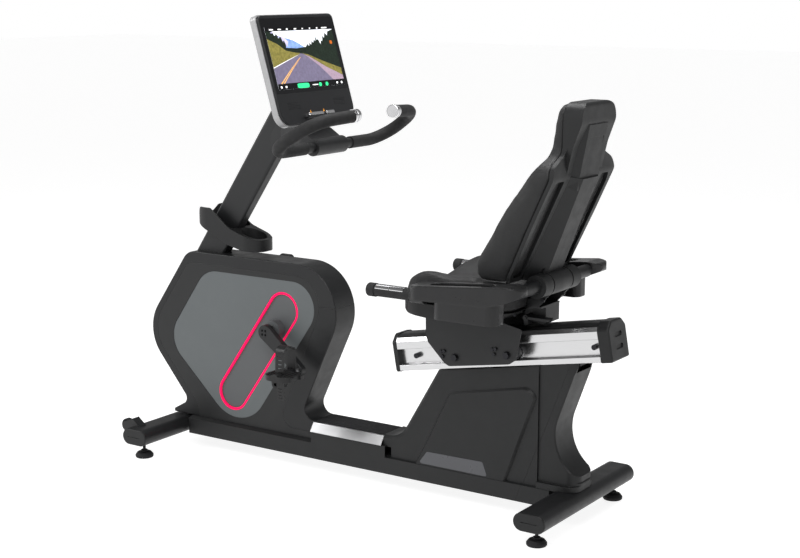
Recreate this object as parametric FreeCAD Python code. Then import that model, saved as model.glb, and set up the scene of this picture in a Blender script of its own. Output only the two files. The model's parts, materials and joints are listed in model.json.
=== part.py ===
import FreeCAD, Part
import math
import os

# Recumbent exercise bike, in millimetres.  +Z is up, the rider faces -X, the rider's left is -Y.
# The origin is on the floor, under the middle of the overall box.

# Added to every X on export, so that the origin is under the middle of the overall box
CENTRING_SHIFT = 5.2

# Stance
REAR_TUBE_X = 738.0
FRONT_TUBE_X = -762.0
TUBE_HALF_LENGTH = 289.0
TUBE_DEEP = 102.0
TUBE_HIGH = 54.0
TUBE_BOTTOM = 49.5
TUBE_WALL = 2.5
FOOT_X = (-760.0, 740.0)
FOOT_Y = 242.0
FOOT_RADIUS = 30.0
FOOT_STEM_RADIUS = 5.0
RUNNING_GAP = 0.05
FIT_GAP = 0.02
BODY_GAP = 0.4

# Transport wheels
WHEEL_X = -831.0
WHEEL_Z = 99.0
WHEEL_RADIUS = 22.5
WHEEL_Y = 240.0

# Base covers, step and pedestal
COVER_WALL = 3.0
BASE_FRONT_X = -710.0
BASE_REAR_X = 686.0
BASE_HALF_WIDTH = 72.0
PEDESTAL_HALF_WIDTH = 62.0
RIM_HALF_WIDTH = 53.0
HOUSING_HALF_WIDTH = 53.0
LEDGE_TOP = 108.5
LEDGE_FALL = 6.5
LEDGE_RUN = 19.0
LIP_TIP_X = 768.0
LIP_HALF_WIDTH = 57.0
LIP_SKIRT_HALF_WIDTH = 70.0
STEP_FRONT_X = -188.0
STEP_REAR_X = 90.0
STEP_TOP = 170.0

# Drive housing and crank
HOUSING_TOP = 680.0
CRANK_X = -340.0
CRANK_Z = 455.0
CRANK_LENGTH = 172.0
CRANK_DROP_DEG = 38.5
ARM_OUTER_Y = 115.0
ARM_THICK = 22.0
SPINDLE_RADIUS = 10.0
AXLE_RADIUS = 7.0
PEDAL_IN_Y = 139.0
PEDAL_OUT_Y = 235.0
STRAP_OUT_Y = 208.0
STRAP_IN_Y = 146.0
BEARING_OUT_Y = 39.5
TOWER_Y = 34.0
PULLEY_RADIUS = 132.0
HUB_RADIUS = 22.0
FLYWHEEL_X = -612.0
FLYWHEEL_Z = 405.0
FLYWHEEL_RADIUS = 105.0

# Mast, neck and handlebar
MAST_LEAN_DEG = 34.0
MAST_FOOT = (-653.5, 660.0)
MAST_DEEP = 100.0
MAST_WIDE = 44.0
BAR_X = -164.0
BAR_Z = 1061.0
BAR_RADIUS = 16.0
GRIP_RADIUS = 19.5
SLEEVE_RADIUS = 27.0
SLEEVE_HALF_LENGTH = 78.0
BAR_ROUTE = ((-164.0, 308.0, 1061.0), (-10.0, 275.0, 1161.0), (16.0, 118.0, 1170.0))
BAR_BENDS = (75.0, 105.0)

# Console
CONSOLE_TILT_DEG = 16.4
CONSOLE_ORIGIN = (-214.0, 1230.0)
CONSOLE_HALF_WIDTH = 195.0
GLASS_HALF_WIDTH = 188.5
GLASS_HIGH = 238.0

# Seat rail and carriage
RAIL_SLOPE_DEG = 10.0
RAIL_ORIGIN = (152.0, 386.0)
RAIL_LENGTH = 695.0
RAIL_HALF_WIDTH = 57.0
RAIL_HIGH = 113.0
REAR_CAP_THICK = 36.0
LIP_HIGH = 18.0
CHANNEL_TOP = 67.0
CHANNEL_WEB_Y = 37.0
ROLLER_RADIUS = 22.0
ROLLER_U = (229.0, 409.0)
ROLLER_W = LIP_HIGH + ROLLER_RADIUS + 0.3
STOP_U = (62.0, 676.0)
PLATE_OUT_Y = 92.0
PLATE_THICK = 4.0

# Seat, backrest and armrests
SEAT_HALF_WIDTH = 188.0
SEAT_FRONT_X = 214.0
SEAT_REAR_X = 606.0
SEAT_SEAM_Z = 640.0
TROUGH_RADIUS = 210.0
BACK_HALF_WIDTH = 190.0
BACK_THICK = 12.0
HEAD_HALF_WIDTH = 104.0
TUBE_AXIS = (650.0, 713.0)
ARM_TUBE_RADIUS = 19.0
ARM_STUB_RADIUS = 13.0
BARREL_RADIUS = 34.0
BARREL_HALF_LENGTH = 108.0
ARMREST_IN_Y = 207.0
ARMREST_OUT_Y = 288.0
SEAT_GRIP_Y = 243.0
SEAT_GRIP_Z = 677.0
SEAT_GRIP_RADIUS = 18.5
SEAT_GRIP_TIP_X = 163.0
LEVER_PIVOT = (590.0, 607.5)

SIDES = (-1, 1)


# ---------------------------------------------------------------- helpers

def vec(x, y, z):
    return FreeCAD.Vector(x, y, z)


def rounded_wire(corners, to_point):
    """Closed wire through corners (a, b, radius); to_point places each (a, b) in space."""
    count = len(corners)
    spans = []
    for i, (a, b, radius) in enumerate(corners):
        before = corners[i - 1]
        after = corners[(i + 1) % count]
        here = FreeCAD.Vector(a, b, 0)
        back = (FreeCAD.Vector(before[0], before[1], 0) - here).normalize()
        ahead = (FreeCAD.Vector(after[0], after[1], 0) - here).normalize()
        if radius <= 0:
            spans.append((here, None, here))
            continue
        half = back.getAngle(ahead) / 2
        reach = radius / math.tan(half)
        middle = (back + ahead).normalize()
        nearest = here + middle * (radius / math.sin(half) - radius)
        spans.append((here + back * reach, nearest, here + ahead * reach))
    edges = []
    for i, (start, nearest, end) in enumerate(spans):
        if nearest is not None:
            edges.append(Part.Arc(to_point(start), to_point(nearest), to_point(end)).toShape())
        following = spans[(i + 1) % count][0]
        if (following - end).Length > 1e-4:
            edges.append(Part.LineSegment(to_point(end), to_point(following)).toShape())
    return Part.Wire(edges)


def side_wire(corners, y):
    return rounded_wire(corners, lambda p: vec(p.x, y, p.y))


def side_slab(corners, y0, y1):
    """Outline in X and Z, as thick as y0 to y1."""
    return Part.Face(side_wire(corners, y0)).extrude(vec(0, y1 - y0, 0))


def plan_slab(corners, z0, z1):
    """Outline in X and Y, from height z0 to z1."""
    wire = rounded_wire(corners, lambda p: vec(p.x, p.y, z0))
    return Part.Face(wire).extrude(vec(0, 0, z1 - z0))


def front_slab(corners, x0, x1):
    """Outline in Y and Z, from x0 to x1."""
    wire = rounded_wire(corners, lambda p: vec(x0, p.x, p.y))
    return Part.Face(wire).extrude(vec(x1 - x0, 0, 0))


def box(x0, x1, y0, y1, z0, z1):
    return Part.makeBox(x1 - x0, y1 - y0, z1 - z0, vec(x0, y0, z0))


def rod_y(x, z, radius, y0, y1):
    """Cylinder along Y from y0 to y1."""
    low, high = min(y0, y1), max(y0, y1)
    return Part.makeCylinder(radius, high - low, vec(x, low, z), vec(0, 1, 0))


def hex_y(x, z, across, y0, y1):
    """Hexagonal head along Y, across its flats."""
    radius = across / math.sqrt(3)
    corners = []
    for k in range(6):
        angle = math.radians(60 * k)
        corners.append((x + radius * math.cos(angle), z + radius * math.sin(angle), 0))
    return side_slab(corners, y0, y1)


def hull_y(ends, y0, y1):
    """Two rods along Y, (x, z, radius) each, joined by their common tangents."""
    (x0, z0, r0), (x1, z1, r1) = ends
    length = math.hypot(x1 - x0, z1 - z0)
    heading = math.atan2(z1 - z0, x1 - x0)
    spread = math.acos((r0 - r1) / length)
    corners = []
    for x, z, r, side in ((x0, z0, r0, 1), (x1, z1, r1, 1), (x1, z1, r1, -1), (x0, z0, r0, -1)):
        angle = heading + side * spread
        corners.append((x + r * math.cos(angle), z + r * math.sin(angle), 0))
    shape = side_slab(corners, min(y0, y1), max(y0, y1))
    for x, z, r in ends:
        shape = shape.fuse(rod_y(x, z, r, y0, y1))
    return shape.removeSplitter()


def inset(corners, distance, y0, y1):
    """Side slab whose outline is drawn in by distance."""
    face = Part.Face(side_wire(corners, min(y0, y1)))
    return face.makeOffset2D(-distance).extrude(vec(0, abs(y1 - y0), 0))


def mirrored(shape):
    return shape.mirror(vec(0, 0, 0), vec(0, 1, 0))


def both_sides(shape):
    """The shape on the rider's left, and its mirror image on the right."""
    return Part.makeCompound([shape, mirrored(shape)])


def turned(shape, degrees, x, z):
    """Shape drawn about the origin, its +X end raised by degrees, then moved to x, z."""
    placed = shape.copy()
    placed.rotate(vec(0, 0, 0), vec(0, 1, 0), -degrees)
    placed.translate(vec(x, 0, z))
    return placed


def on_rail(shape):
    return turned(shape, RAIL_SLOPE_DEG, *RAIL_ORIGIN)


def on_console(shape):
    """Console pieces are drawn with +X out of the glass and +Z up along it."""
    placed = shape.copy()
    placed.rotate(vec(0, 0, 0), vec(0, 1, 0), -CONSOLE_TILT_DEG)
    placed.translate(vec(CONSOLE_ORIGIN[0], 0, CONSOLE_ORIGIN[1]))
    return placed


def on_mast(shape):
    """Mast pieces are drawn upright, with the mast's axis on Z."""
    placed = shape.copy()
    placed.rotate(vec(0, 0, 0), vec(0, 1, 0), MAST_LEAN_DEG)
    placed.translate(vec(MAST_FOOT[0], 0, MAST_FOOT[1]))
    return placed


def swept_tube(points, bends, radius, bore=0.0):
    """Round bar along straight runs joined by tangent arcs."""
    path = [vec(*p) for p in points]
    edges = []
    start = path[0]
    for i in range(1, len(path) - 1):
        here = path[i]
        back = (path[i - 1] - here).normalize()
        ahead = (path[i + 1] - here).normalize()
        half = back.getAngle(ahead) / 2
        reach = bends[i - 1] / math.tan(half)
        middle = (back + ahead).normalize()
        nearest = here + middle * (bends[i - 1] / math.sin(half) - bends[i - 1])
        begin = here + back * reach
        end = here + ahead * reach
        edges.append(Part.LineSegment(start, begin).toShape())
        edges.append(Part.Arc(begin, nearest, end).toShape())
        start = end
    edges.append(Part.LineSegment(start, path[-1]).toShape())
    spine = Part.Wire(edges)
    along = path[1] - path[0]
    section = Part.Wire(Part.makeCircle(radius, path[0], along))
    solid = spine.makePipeShell([section], True, False)
    if bore > 0:
        inner = Part.Wire(Part.makeCircle(bore, path[0], along))
        solid = solid.cut(spine.makePipeShell([inner], True, False))
    return solid


# ---------------------------------------------------------------- stance

def tube_section(x, shrink):
    half = TUBE_DEEP / 2 - shrink
    low = TUBE_BOTTOM + shrink
    high = TUBE_BOTTOM + TUBE_HIGH - shrink
    radius = (TUBE_HIGH / 2 - shrink) * 0.9999
    return [(x - half, low, radius), (x + half, low, radius),
            (x + half, high, radius), (x - half, high, radius)]


def stabilizer(x, foot_x):
    """Flattened steel cross tube with a threaded boss for each levelling foot."""
    end = TUBE_HALF_LENGTH - 8
    tube = side_slab(tube_section(x, 0), -end, end)
    tube = tube.cut(side_slab(tube_section(x, TUBE_WALL), -end, end))
    for side in SIDES:
        y = side * FOOT_Y
        boss = Part.makeCylinder(11, 14, vec(foot_x, y, TUBE_BOTTOM + 1))
        tube = tube.fuse(boss)
        hole = Part.makeCylinder(FOOT_STEM_RADIUS + RUNNING_GAP, 40, vec(foot_x, y, TUBE_BOTTOM - 10))
        tube = tube.cut(hole)
    return tube.removeSplitter()


def front_stabilizer():
    """Front cross tube with a welded fork for each transport wheel."""
    tube = stabilizer(FRONT_TUBE_X, FOOT_X[0])
    hollow = side_slab(tube_section(FRONT_TUBE_X, 0.5), -400, 400)
    for side in SIDES:
        for y in (WHEEL_Y - 16, WHEEL_Y + 13):
            ear = side_slab([(WHEEL_X - 11, WHEEL_Z - 11, 10), (WHEEL_X + 48, 62, 0), (WHEEL_X + 64, 102, 0),
                             (WHEEL_X + 32, 126, 5), (WHEEL_X - 11, WHEEL_Z + 12, 10)], y, y + 3)
            if side < 0:
                ear = mirrored(ear)
            tube = tube.fuse(ear.cut(hollow))
        roof = side_slab([(WHEEL_X + 32, 126, 0), (WHEEL_X + 33, 129, 0), (WHEEL_X + 66, 104, 0),
                          (WHEEL_X + 64, 101, 0)], WHEEL_Y - 16, WHEEL_Y + 16)
        if side < 0:
            roof = mirrored(roof)
        tube = tube.fuse(roof.cut(hollow))
        tube = tube.fuse(rod_y(WHEEL_X, WHEEL_Z, 5, side * (WHEEL_Y - 16), side * (WHEEL_Y + 16)))
    return tube.removeSplitter()


def rear_stabilizer():
    return stabilizer(REAR_TUBE_X, FOOT_X[1])


def stabilizer_end_caps():
    """Four moulded plugs, each with a shallow grip slot in its face."""
    caps = []
    for x in (FRONT_TUBE_X, REAR_TUBE_X):
        end = TUBE_HALF_LENGTH
        face = side_slab(tube_section(x, 0), -end, -end + 7.9)
        outer_edges = [e for e in face.Edges if abs(e.CenterOfMass.y + end) < 0.01]
        face = face.makeFillet(3.5, outer_edges)
        plug = side_slab(tube_section(x, TUBE_WALL + 0.1), -end + 7.9, -end + 25)
        cap = face.fuse(plug)
        mid = TUBE_BOTTOM + TUBE_HIGH / 2
        slot = [(x - 27, mid - 1, 1), (x + 27, mid - 1, 1), (x + 27, mid + 1.4, 1), (x - 27, mid + 1.4, 1)]
        caps.append(cap.cut(side_slab(slot, -end - 1, -end + 2)).removeSplitter())
    return Part.makeCompound(caps + [mirrored(c) for c in caps])


def foot(x, side):
    """Rubber-faced levelling foot with its threaded stem."""
    profile = [(0, 0, 0), (FOOT_RADIUS - 2, 0, 0), (FOOT_RADIUS, 3, 0), (FOOT_RADIUS, 9, 3),
               (FOOT_RADIUS - 7, 18, 6), (11, 20, 2), (11, 25, 0), (FOOT_STEM_RADIUS, 25, 0),
               (FOOT_STEM_RADIUS, 78, 0), (0, 78, 0)]
    wire = rounded_wire(profile, lambda p: vec(p.x, 0, p.y))
    solid = Part.Face(wire).revolve(vec(0, 0, 0), vec(0, 0, 1), 360)
    solid.translate(vec(x, side * FOOT_Y, 0))
    return solid


def transport_wheel(side):
    profile = [(5 + RUNNING_GAP, -11, 0), (WHEEL_RADIUS - 3, -11, 0), (WHEEL_RADIUS, -8, 2),
               (WHEEL_RADIUS, 8, 2), (WHEEL_RADIUS - 3, 11, 0), (5 + RUNNING_GAP, 11, 0)]
    wire = rounded_wire(profile, lambda p: vec(p.x, p.y, 0))
    solid = Part.Face(wire).revolve(vec(0, 0, 0), vec(0, 1, 0), 360)
    for y in (-12, 7):
        groove = rod_y(0, 0, 19, y, y + 5).cut(rod_y(0, 0, 11, y, y + 5))
        solid = solid.cut(groove)
    solid.translate(vec(WHEEL_X, side * WHEEL_Y, WHEEL_Z))
    return solid


# ---------------------------------------------------------------- frame

def rail_bottom_z(x):
    return RAIL_ORIGIN[1] + (x - RAIL_ORIGIN[0]) * math.tan(math.radians(RAIL_SLOPE_DEG))


def main_frame():
    """Steel weldment: long beam, two seat posts with a rail plate, and the drive tower."""
    front = FRONT_TUBE_X + TUBE_DEEP / 2 + 0.3
    rear = REAR_TUBE_X - TUBE_DEEP / 2 - 0.3
    frame = box(front, rear, -45, 45, 57, 103)
    frame = frame.cut(box(front + 4, rear - 4, -42, 42, 60, 100))
    for x, lean in ((205, 0.6), (540, 0.365)):
        top = 420 if x < 300 else 480
        run = lean * (top - 101)
        post = side_slab([(x, 101, 0), (x + 60, 101, 0), (x + 60 + run, top, 0), (x + run, top, 0)], -30, 30)
        core = side_slab([(x + 4, 101, 0), (x + 56, 101, 0), (x + 56 + run, top, 0),
                          (x + 4 + run, top, 0)], -27, 27)
        frame = frame.fuse(post.cut(core))
    above = on_rail(box(-100, 900, -100, 100, -10, 300))
    frame = frame.cut(above)
    frame = frame.fuse(on_rail(box(165, 620, -42, 42, -10.2, -0.3)))
    frame = frame.fuse(drive_tower())
    return frame.removeSplitter()


def drive_tower():
    """Two plates on the beam that carry the crank bearings, the generator and the mast's socket."""
    outline = [(-696, 101, 0), (-262, 101, 0), (-290, 430, 40), (-320, 500, 25), (-420, 500, 40),
               (-520, 560, 40), (-690, 610, 20), (-800, 470, 30), (-800, 360, 60), (-690, 230, 60)]
    window = [(-640, 150, 30), (-330, 150, 30), (-360, 380, 20), (-500, 290, 40), (-640, 250, 30)]
    tower = None
    for y in (-TOWER_Y - 4, TOWER_Y):
        plate = side_slab(outline, y, y + 4).cut(side_slab(window, y - 1, y + 5))
        plate = plate.cut(rod_y(FLYWHEEL_X, FLYWHEEL_Z, 8 + FIT_GAP, y - 1, y + 5))
        tower = plate if tower is None else tower.fuse(plate)
    for y0, y1 in ((-BEARING_OUT_Y, -28), (28, BEARING_OUT_Y)):
        ring = rod_y(CRANK_X, CRANK_Z, 26, y0, y1)
        tower = tower.fuse(ring)
        tower = tower.cut(rod_y(CRANK_X, CRANK_Z, 18 + FIT_GAP, y0 - 1, y1 + 1))
    half_deep = MAST_DEEP / 2 + 0.3
    half_wide = MAST_WIDE / 2 + 0.3
    socket = box(-half_deep - 4, half_deep + 4, -TOWER_Y - 0.5, TOWER_Y + 0.5, -152, -76)
    socket = socket.cut(box(-half_deep, half_deep, -half_wide, half_wide, -160, -50))
    tower = tower.fuse(on_mast(socket))
    foot_plate = box(-696, -640, -38, 38, 98, 105)
    return tower.fuse(foot_plate)


# ---------------------------------------------------------------- covers

HOUSING = [(-714, HOUSING_TOP, 60), (-10, HOUSING_TOP, 154), (-246, STEP_TOP, 36),
           (STEP_FRONT_X, STEP_TOP, 0), (STEP_FRONT_X, LEDGE_TOP + 0.5, 0), (-792, LEDGE_TOP + 0.5, 3),
           (-792, 120, 5), (-724, 158, 22), (-918, 389, 138)]
SIDE_COVER = [(-713, 642, 40), (-113, 642, 95), (-338, 132, 42), (STEP_FRONT_X, 132, 0),
              (STEP_FRONT_X, LEDGE_TOP + 0.5, 0), (-676, LEDGE_TOP + 0.5, 0), (-688, 158, 15),
              (-888, 393, 118)]
SIDE_PANEL = [(-639, 621.5, 96), (-105, 621.5, 87), (-490, 62, 130), (-816, 367, 94)]
RING_TOP = (-310.0, 521.0)
RING_LOW = (-526.0, 215.0)
RING_OUTER = 61.0
RING_INNER = 53.0
RING_DEEP = 5.5
HOUSING_SEAM_Z = 550.0
PANEL_SINK = 1.2


def stadium(radius):
    """Corners of the slot-shaped recess that the crank swings over, as a rounded rectangle."""
    dx = RING_TOP[0] - RING_LOW[0]
    dz = RING_TOP[1] - RING_LOW[1]
    length = math.hypot(dx, dz)
    ux, uz = dx / length, dz / length
    corners = []
    for (x, z), along in ((RING_LOW, -1), (RING_TOP, 1)):
        for across in (-along, along):
            px = x + radius * (along * ux - across * uz)
            pz = z + radius * (along * uz + across * ux)
            corners.append((px, pz, radius * 0.9999))
    return corners


def housing_shell():
    """The whole perimeter band, open at its sides where the side covers sit, and open below."""
    half = HOUSING_HALF_WIDTH
    band = side_slab(HOUSING, -half, half)
    edges = [e for e in band.Edges
             if abs(abs(e.CenterOfMass.y) - half) < 0.01 and e.CenterOfMass.z > LEDGE_TOP + 5
             and e.CenterOfMass.x < STEP_FRONT_X - 2]
    band = band.makeFillet(3.0, edges)
    band = band.cut(inset(HOUSING, COVER_WALL, -half + COVER_WALL, half - COVER_WALL))
    band = band.cut(side_slab(SIDE_COVER, -half - 5, half + 5))
    band = band.cut(box(-786, STEP_FRONT_X - 3, -half + 3, half - 3, 100, 116))
    deep, wide = MAST_DEEP / 2 + 1, MAST_WIDE / 2 + 1
    return band.cut(on_mast(box(-deep, deep, -wide, wide, -60, 200)))


def band_part(upper):
    """One piece of the band: the seam crosses the rear of the housing at one height."""
    shell = housing_shell()
    if upper:
        return shell.cut(box(-360, 0, -100, 100, 90, HOUSING_SEAM_Z + BODY_GAP))
    return shell.common(box(-360, 0, -100, 100, 90, HOUSING_SEAM_Z))


def shroud_band_upper():
    return largest(band_part(True))


def shroud_band_rear():
    return largest(band_part(False))


def largest(shape):
    """The biggest solid of a shape, without slivers."""
    return max(shape.Solids, key=lambda s: s.Volume)


def side_cover():
    """Left cover plate with a pocket for the trim panel and a sunk slot around the crank."""
    outer = -HOUSING_HALF_WIDTH
    cover = inset(SIDE_COVER, BODY_GAP, outer, outer + 5)
    cover = cover.fuse(inset(SIDE_COVER, 3, outer + 5, outer + 7))
    cover = cover.fuse(side_slab(stadium(RING_OUTER + 3), outer + 5, outer + 12))
    cover = cover.cut(side_slab(SIDE_PANEL, outer - 1, outer + PANEL_SINK + 2))
    cover = cover.cut(side_slab(stadium(RING_OUTER + 0.2), outer - 1, outer + PANEL_SINK + RING_DEEP))
    cover = cover.fuse(rod_y(CRANK_X, CRANK_Z, 32, outer + 10, outer - 22))
    return cover.cut(rod_y(CRANK_X, CRANK_Z, 16, outer - 30, outer + 20)).removeSplitter()


def side_panels():
    """Thin grey trim sheets, one each side, pierced by the slot."""
    outer = -HOUSING_HALF_WIDTH + PANEL_SINK
    panel = inset(SIDE_PANEL, 0.25, outer, outer + 1.9)
    return both_sides(panel.cut(side_slab(stadium(RING_OUTER + 0.2), outer - 1, outer + 4)))


def accent_rings():
    """Coloured bezel whose face slopes down from the panel into the slot."""
    outer = -HOUSING_HALF_WIDTH + PANEL_SINK
    ring = side_slab(stadium(RING_OUTER), outer, outer + RING_DEEP - 0.1)
    mouth = side_wire(stadium(RING_OUTER - 1.2), outer)
    floor = side_wire(stadium(RING_INNER), outer + RING_DEEP - 0.1)
    return both_sides(ring.cut(Part.makeLoft([mouth, floor], True, True)))


PEDESTAL = [(BASE_FRONT_X, TUBE_BOTTOM, 0), (BASE_REAR_X, TUBE_BOTTOM, 0), (BASE_REAR_X, LEDGE_TOP, 0),
            (LIP_TIP_X, LEDGE_TOP, 0), (LIP_TIP_X, 132, 9), (634, 131, 140), (765, 493.4, 0), (290, 408.6, 0),
            (150, 172, 70), (STEP_REAR_X, 172, 0), (STEP_REAR_X, 80, 0), (BASE_FRONT_X, 80, 0)]
PLATEAU = [(205, 90, 0), (257, 186, 60), (336, 347, 34), (606, 403, 34), (636, 378, 20), (530, 90, 0)]
WINDOW = [(227, 107, 6), (258, 148, 8), (457, 150, 8), (474, 106, 6)]
SEAM_LOW = (567.0, 40.0)
SEAM_TOP = (745.0, 500.0)


def ledge(x0, x1, shrink):
    """Long trough of the base covers along X, with its top edges sloping down to the sides."""
    half = BASE_HALF_WIDTH - shrink
    top = LEDGE_TOP - shrink
    low = TUBE_BOTTOM - (0 if shrink == 0 else 20)
    return front_slab([(-half, low, 0), (half, low, 0), (half, top - LEDGE_FALL, 0),
                       (half - LEDGE_RUN, top, 0),
                       (-half + LEDGE_RUN, top, 0), (-half, top - LEDGE_FALL, 0)], x0, x1)


def pedestal_block():
    """Outer form of the pedestal, with wide chamfers down its front and rear rims."""
    half = PEDESTAL_HALF_WIDTH
    block = side_slab(PEDESTAL, -half, half)
    rims = [e for e in block.Edges if abs(abs(e.CenterOfMass.y) - half) < 0.01
            and 150 < e.CenterOfMass.z < 440 and e.CenterOfMass.x > STEP_REAR_X]
    block = block.makeChamfer(PEDESTAL_HALF_WIDTH - RIM_HALF_WIDTH, rims)
    return block.common(box(-900, 640, -100, 100, 0, 600).fuse(rear_lip(0)))


def rear_lip(shrink):
    """Tail of the base over the rear cross tube: a rounded skirt and a narrower, rounded crown."""
    tip = LIP_TIP_X - shrink
    tail = None
    for half, corner, high in ((LIP_SKIRT_HALF_WIDTH, 40, 121 - shrink), (LIP_HALF_WIDTH, 34, 600)):
        wide = half - shrink
        plan = [(639, -wide, 0), (tip, -wide, corner), (tip, wide, corner), (639, wide, 0)]
        slab = plan_slab(plan, LEDGE_TOP - 8, high)
        tail = slab if tail is None else tail.fuse(slab)
    return tail


def base_body():
    """Everything the lower covers wrap, as one solid with its hollow cut out."""
    half = BASE_HALF_WIDTH - COVER_WALL
    body = ledge(BASE_FRONT_X, BASE_REAR_X, 0)
    body = body.fuse(box(STEP_FRONT_X + 0.5, STEP_REAR_X + 12, -BASE_HALF_WIDTH, BASE_HALF_WIDTH, 100, 139))
    body = body.fuse(pedestal_block())
    body = body.fuse(rear_lip(0).common(box(640, 800, -100, 100, LEDGE_TOP - 6, 121)))
    plateau = side_slab(PLATEAU, -BASE_HALF_WIDTH + 2, BASE_HALF_WIDTH - 2)
    top_edges = [e for e in plateau.Edges if abs(abs(e.CenterOfMass.y) - (BASE_HALF_WIDTH - 2)) < 0.01
                 and e.CenterOfMass.z > 95]
    body = body.fuse(plateau.makeChamfer(6, top_edges))
    hollow = ledge(BASE_FRONT_X - 5, BASE_REAR_X + 2, COVER_WALL)
    hollow = hollow.fuse(box(STEP_FRONT_X + 4, STEP_REAR_X + 30, -half, half, 90, 136))
    hollow = hollow.fuse(inset(PEDESTAL, COVER_WALL, -RIM_HALF_WIDTH + 4, RIM_HALF_WIDTH - 4).common(
        box(-900, 640, -100, 100, 0, 600).fuse(rear_lip(COVER_WALL))))
    hollow = hollow.fuse(inset(PEDESTAL, 19, -PEDESTAL_HALF_WIDTH + 3, PEDESTAL_HALF_WIDTH - 3).common(
        box(-900, 640, -100, 100, 0, 600)))
    hollow = hollow.fuse(inset(PLATEAU, 8, -BASE_HALF_WIDTH + 5, BASE_HALF_WIDTH - 5))
    top_opening = on_rail(box(150, 640, -44, 44, -30, 10))
    body = body.cut(hollow).cut(top_opening)
    tube_room = side_slab(tube_section(REAR_TUBE_X, -0.6), -100, 100)
    inner = HOUSING_HALF_WIDTH - 6
    tower_room = box(BASE_FRONT_X + 3, STEP_FRONT_X - 4, -inner, inner, 90, 115)
    return body.cut(tube_room).cut(tower_room)


def seam_zone(rear):
    """Half-space before or behind the pedestal's seam."""
    gap = BODY_GAP / 2
    (x0, z0), (x1, z1) = SEAM_LOW, SEAM_TOP
    if rear:
        return side_slab([(x0 + gap, z0, 0), (1000, z0, 0), (1000, z1, 0), (x1 + gap, z1, 0)], -120, 120)
    return side_slab([(x0 - gap, z0, 0), (-900, z0, 0), (-900, z1, 0), (x1 - gap, z1, 0)], -120, 120)


def base_cover(side):
    """Left or right lower cover: they meet on the centre plane."""
    half = box(-900, 900, BODY_GAP / 2, 120, 0, 600)
    if side < 0:
        half = mirrored(half)
    cover = base_body().common(seam_zone(False)).common(half)
    pocket = side_slab(WINDOW, side * (BASE_HALF_WIDTH - 4), side * (BASE_HALF_WIDTH + 3))
    return largest(cover.cut(pocket))


def pedestal_rear_cover():
    return largest(base_body().common(seam_zone(True)))


def accent_windows():
    """Grey translucent inlays in the lower covers."""
    y = -BASE_HALF_WIDTH + 2.9
    return both_sides(inset(WINDOW, 0.3, y - 1.2, y + 1.0))


def step_trim():
    """Folded aluminium tread between the housing and the pedestal."""
    x0, x1 = STEP_FRONT_X + 0.6, STEP_REAR_X - 0.5
    top = STEP_TOP - 2
    outer = front_slab([(-76, 139.6, 0), (76, 139.6, 0), (56, top, 2), (-56, top, 2)], x0, x1)
    inner = front_slab([(-72.5, 139, 0), (72.5, 139, 0), (54, top - 2.5, 0), (-54, top - 2.5, 0)],
                       x0 - 1, x1 + 1)
    return outer.cut(inner)


def step_pad():
    """Ribbed non-slip pad on the tread."""
    x0, x1 = STEP_FRONT_X + 4, STEP_REAR_X - 4
    top = STEP_TOP - 2
    pad = box(x0, x1, -50, 50, top + 0.02, top + 2)
    for k in range(11):
        y = -45 + 9 * k
        pad = pad.fuse(box(x0 + 4, x1 - 4, y - 2, y + 2, top + 1.9, top + 3.2))
    return pad.removeSplitter()


# ---------------------------------------------------------------- drive

def crank_bearings():
    rings = []
    for y0, y1 in ((-BEARING_OUT_Y + 0.5, -29), (29, BEARING_OUT_Y - 0.5)):
        ring = rod_y(CRANK_X, CRANK_Z, 18, y0, y1)
        rings.append(ring.cut(rod_y(CRANK_X, CRANK_Z, SPINDLE_RADIUS + RUNNING_GAP, y0 - 1, y1 + 1)))
    return Part.makeCompound(rings)


def crank_spindle():
    spindle = rod_y(CRANK_X, CRANK_Z, SPINDLE_RADIUS, -(ARM_OUTER_Y - 5), ARM_OUTER_Y - 5)
    for side in SIDES:
        shoulder = ARM_OUTER_Y - ARM_THICK - 0.3
        spindle = spindle.fuse(rod_y(CRANK_X, CRANK_Z, 14.5, side * (BEARING_OUT_Y + 0.5), side * shoulder))
    return spindle


def drive_pulley():
    """Flat-belt pulley on the crank, with five lightening holes."""
    y0, y1 = -24.0, -8.0
    rim = rod_y(CRANK_X, CRANK_Z, PULLEY_RADIUS, y0, y1)
    for face0, face1 in ((y0 - 1, y0 + 5), (y1 - 5, y1 + 1)):
        rim = rim.cut(rod_y(CRANK_X, CRANK_Z, PULLEY_RADIUS - 10, face0, face1))
    pulley = rim.fuse(rod_y(CRANK_X, CRANK_Z, 24, y0, y1))
    for k in range(5):
        angle = math.radians(72 * k)
        hx = CRANK_X + 74 * math.cos(angle)
        hz = CRANK_Z + 74 * math.sin(angle)
        pulley = pulley.cut(rod_y(hx, hz, 24, y0 - 1, y1 + 1))
    return pulley.cut(rod_y(CRANK_X, CRANK_Z, SPINDLE_RADIUS + FIT_GAP, y0 - 1, y1 + 1))


def drive_belt():
    """Ribbed belt round the crank pulley and the flywheel's hub."""
    gap = 0.3
    thick = 3.0
    wheels = ((CRANK_X, CRANK_Z, PULLEY_RADIUS), (FLYWHEEL_X, FLYWHEEL_Z, HUB_RADIUS))
    outer = [(x, z, r + gap + thick) for x, z, r in wheels]
    inner = [(x, z, r + gap) for x, z, r in wheels]
    return hull_y(outer, -22, -10).cut(hull_y(inner, -23, -9))


def flywheel():
    """Rim and web on a small hub pulley; the generator sits inside the rim."""
    x, z = FLYWHEEL_X, FLYWHEEL_Z
    wheel = rod_y(x, z, FLYWHEEL_RADIUS, -3, 26)
    wheel = wheel.cut(rod_y(x, z, FLYWHEEL_RADIUS - 16, 2, 27))
    wheel = wheel.fuse(rod_y(x, z, HUB_RADIUS, -24, -3))
    return wheel.cut(rod_y(x, z, 8 + RUNNING_GAP, -30, 30))


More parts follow.
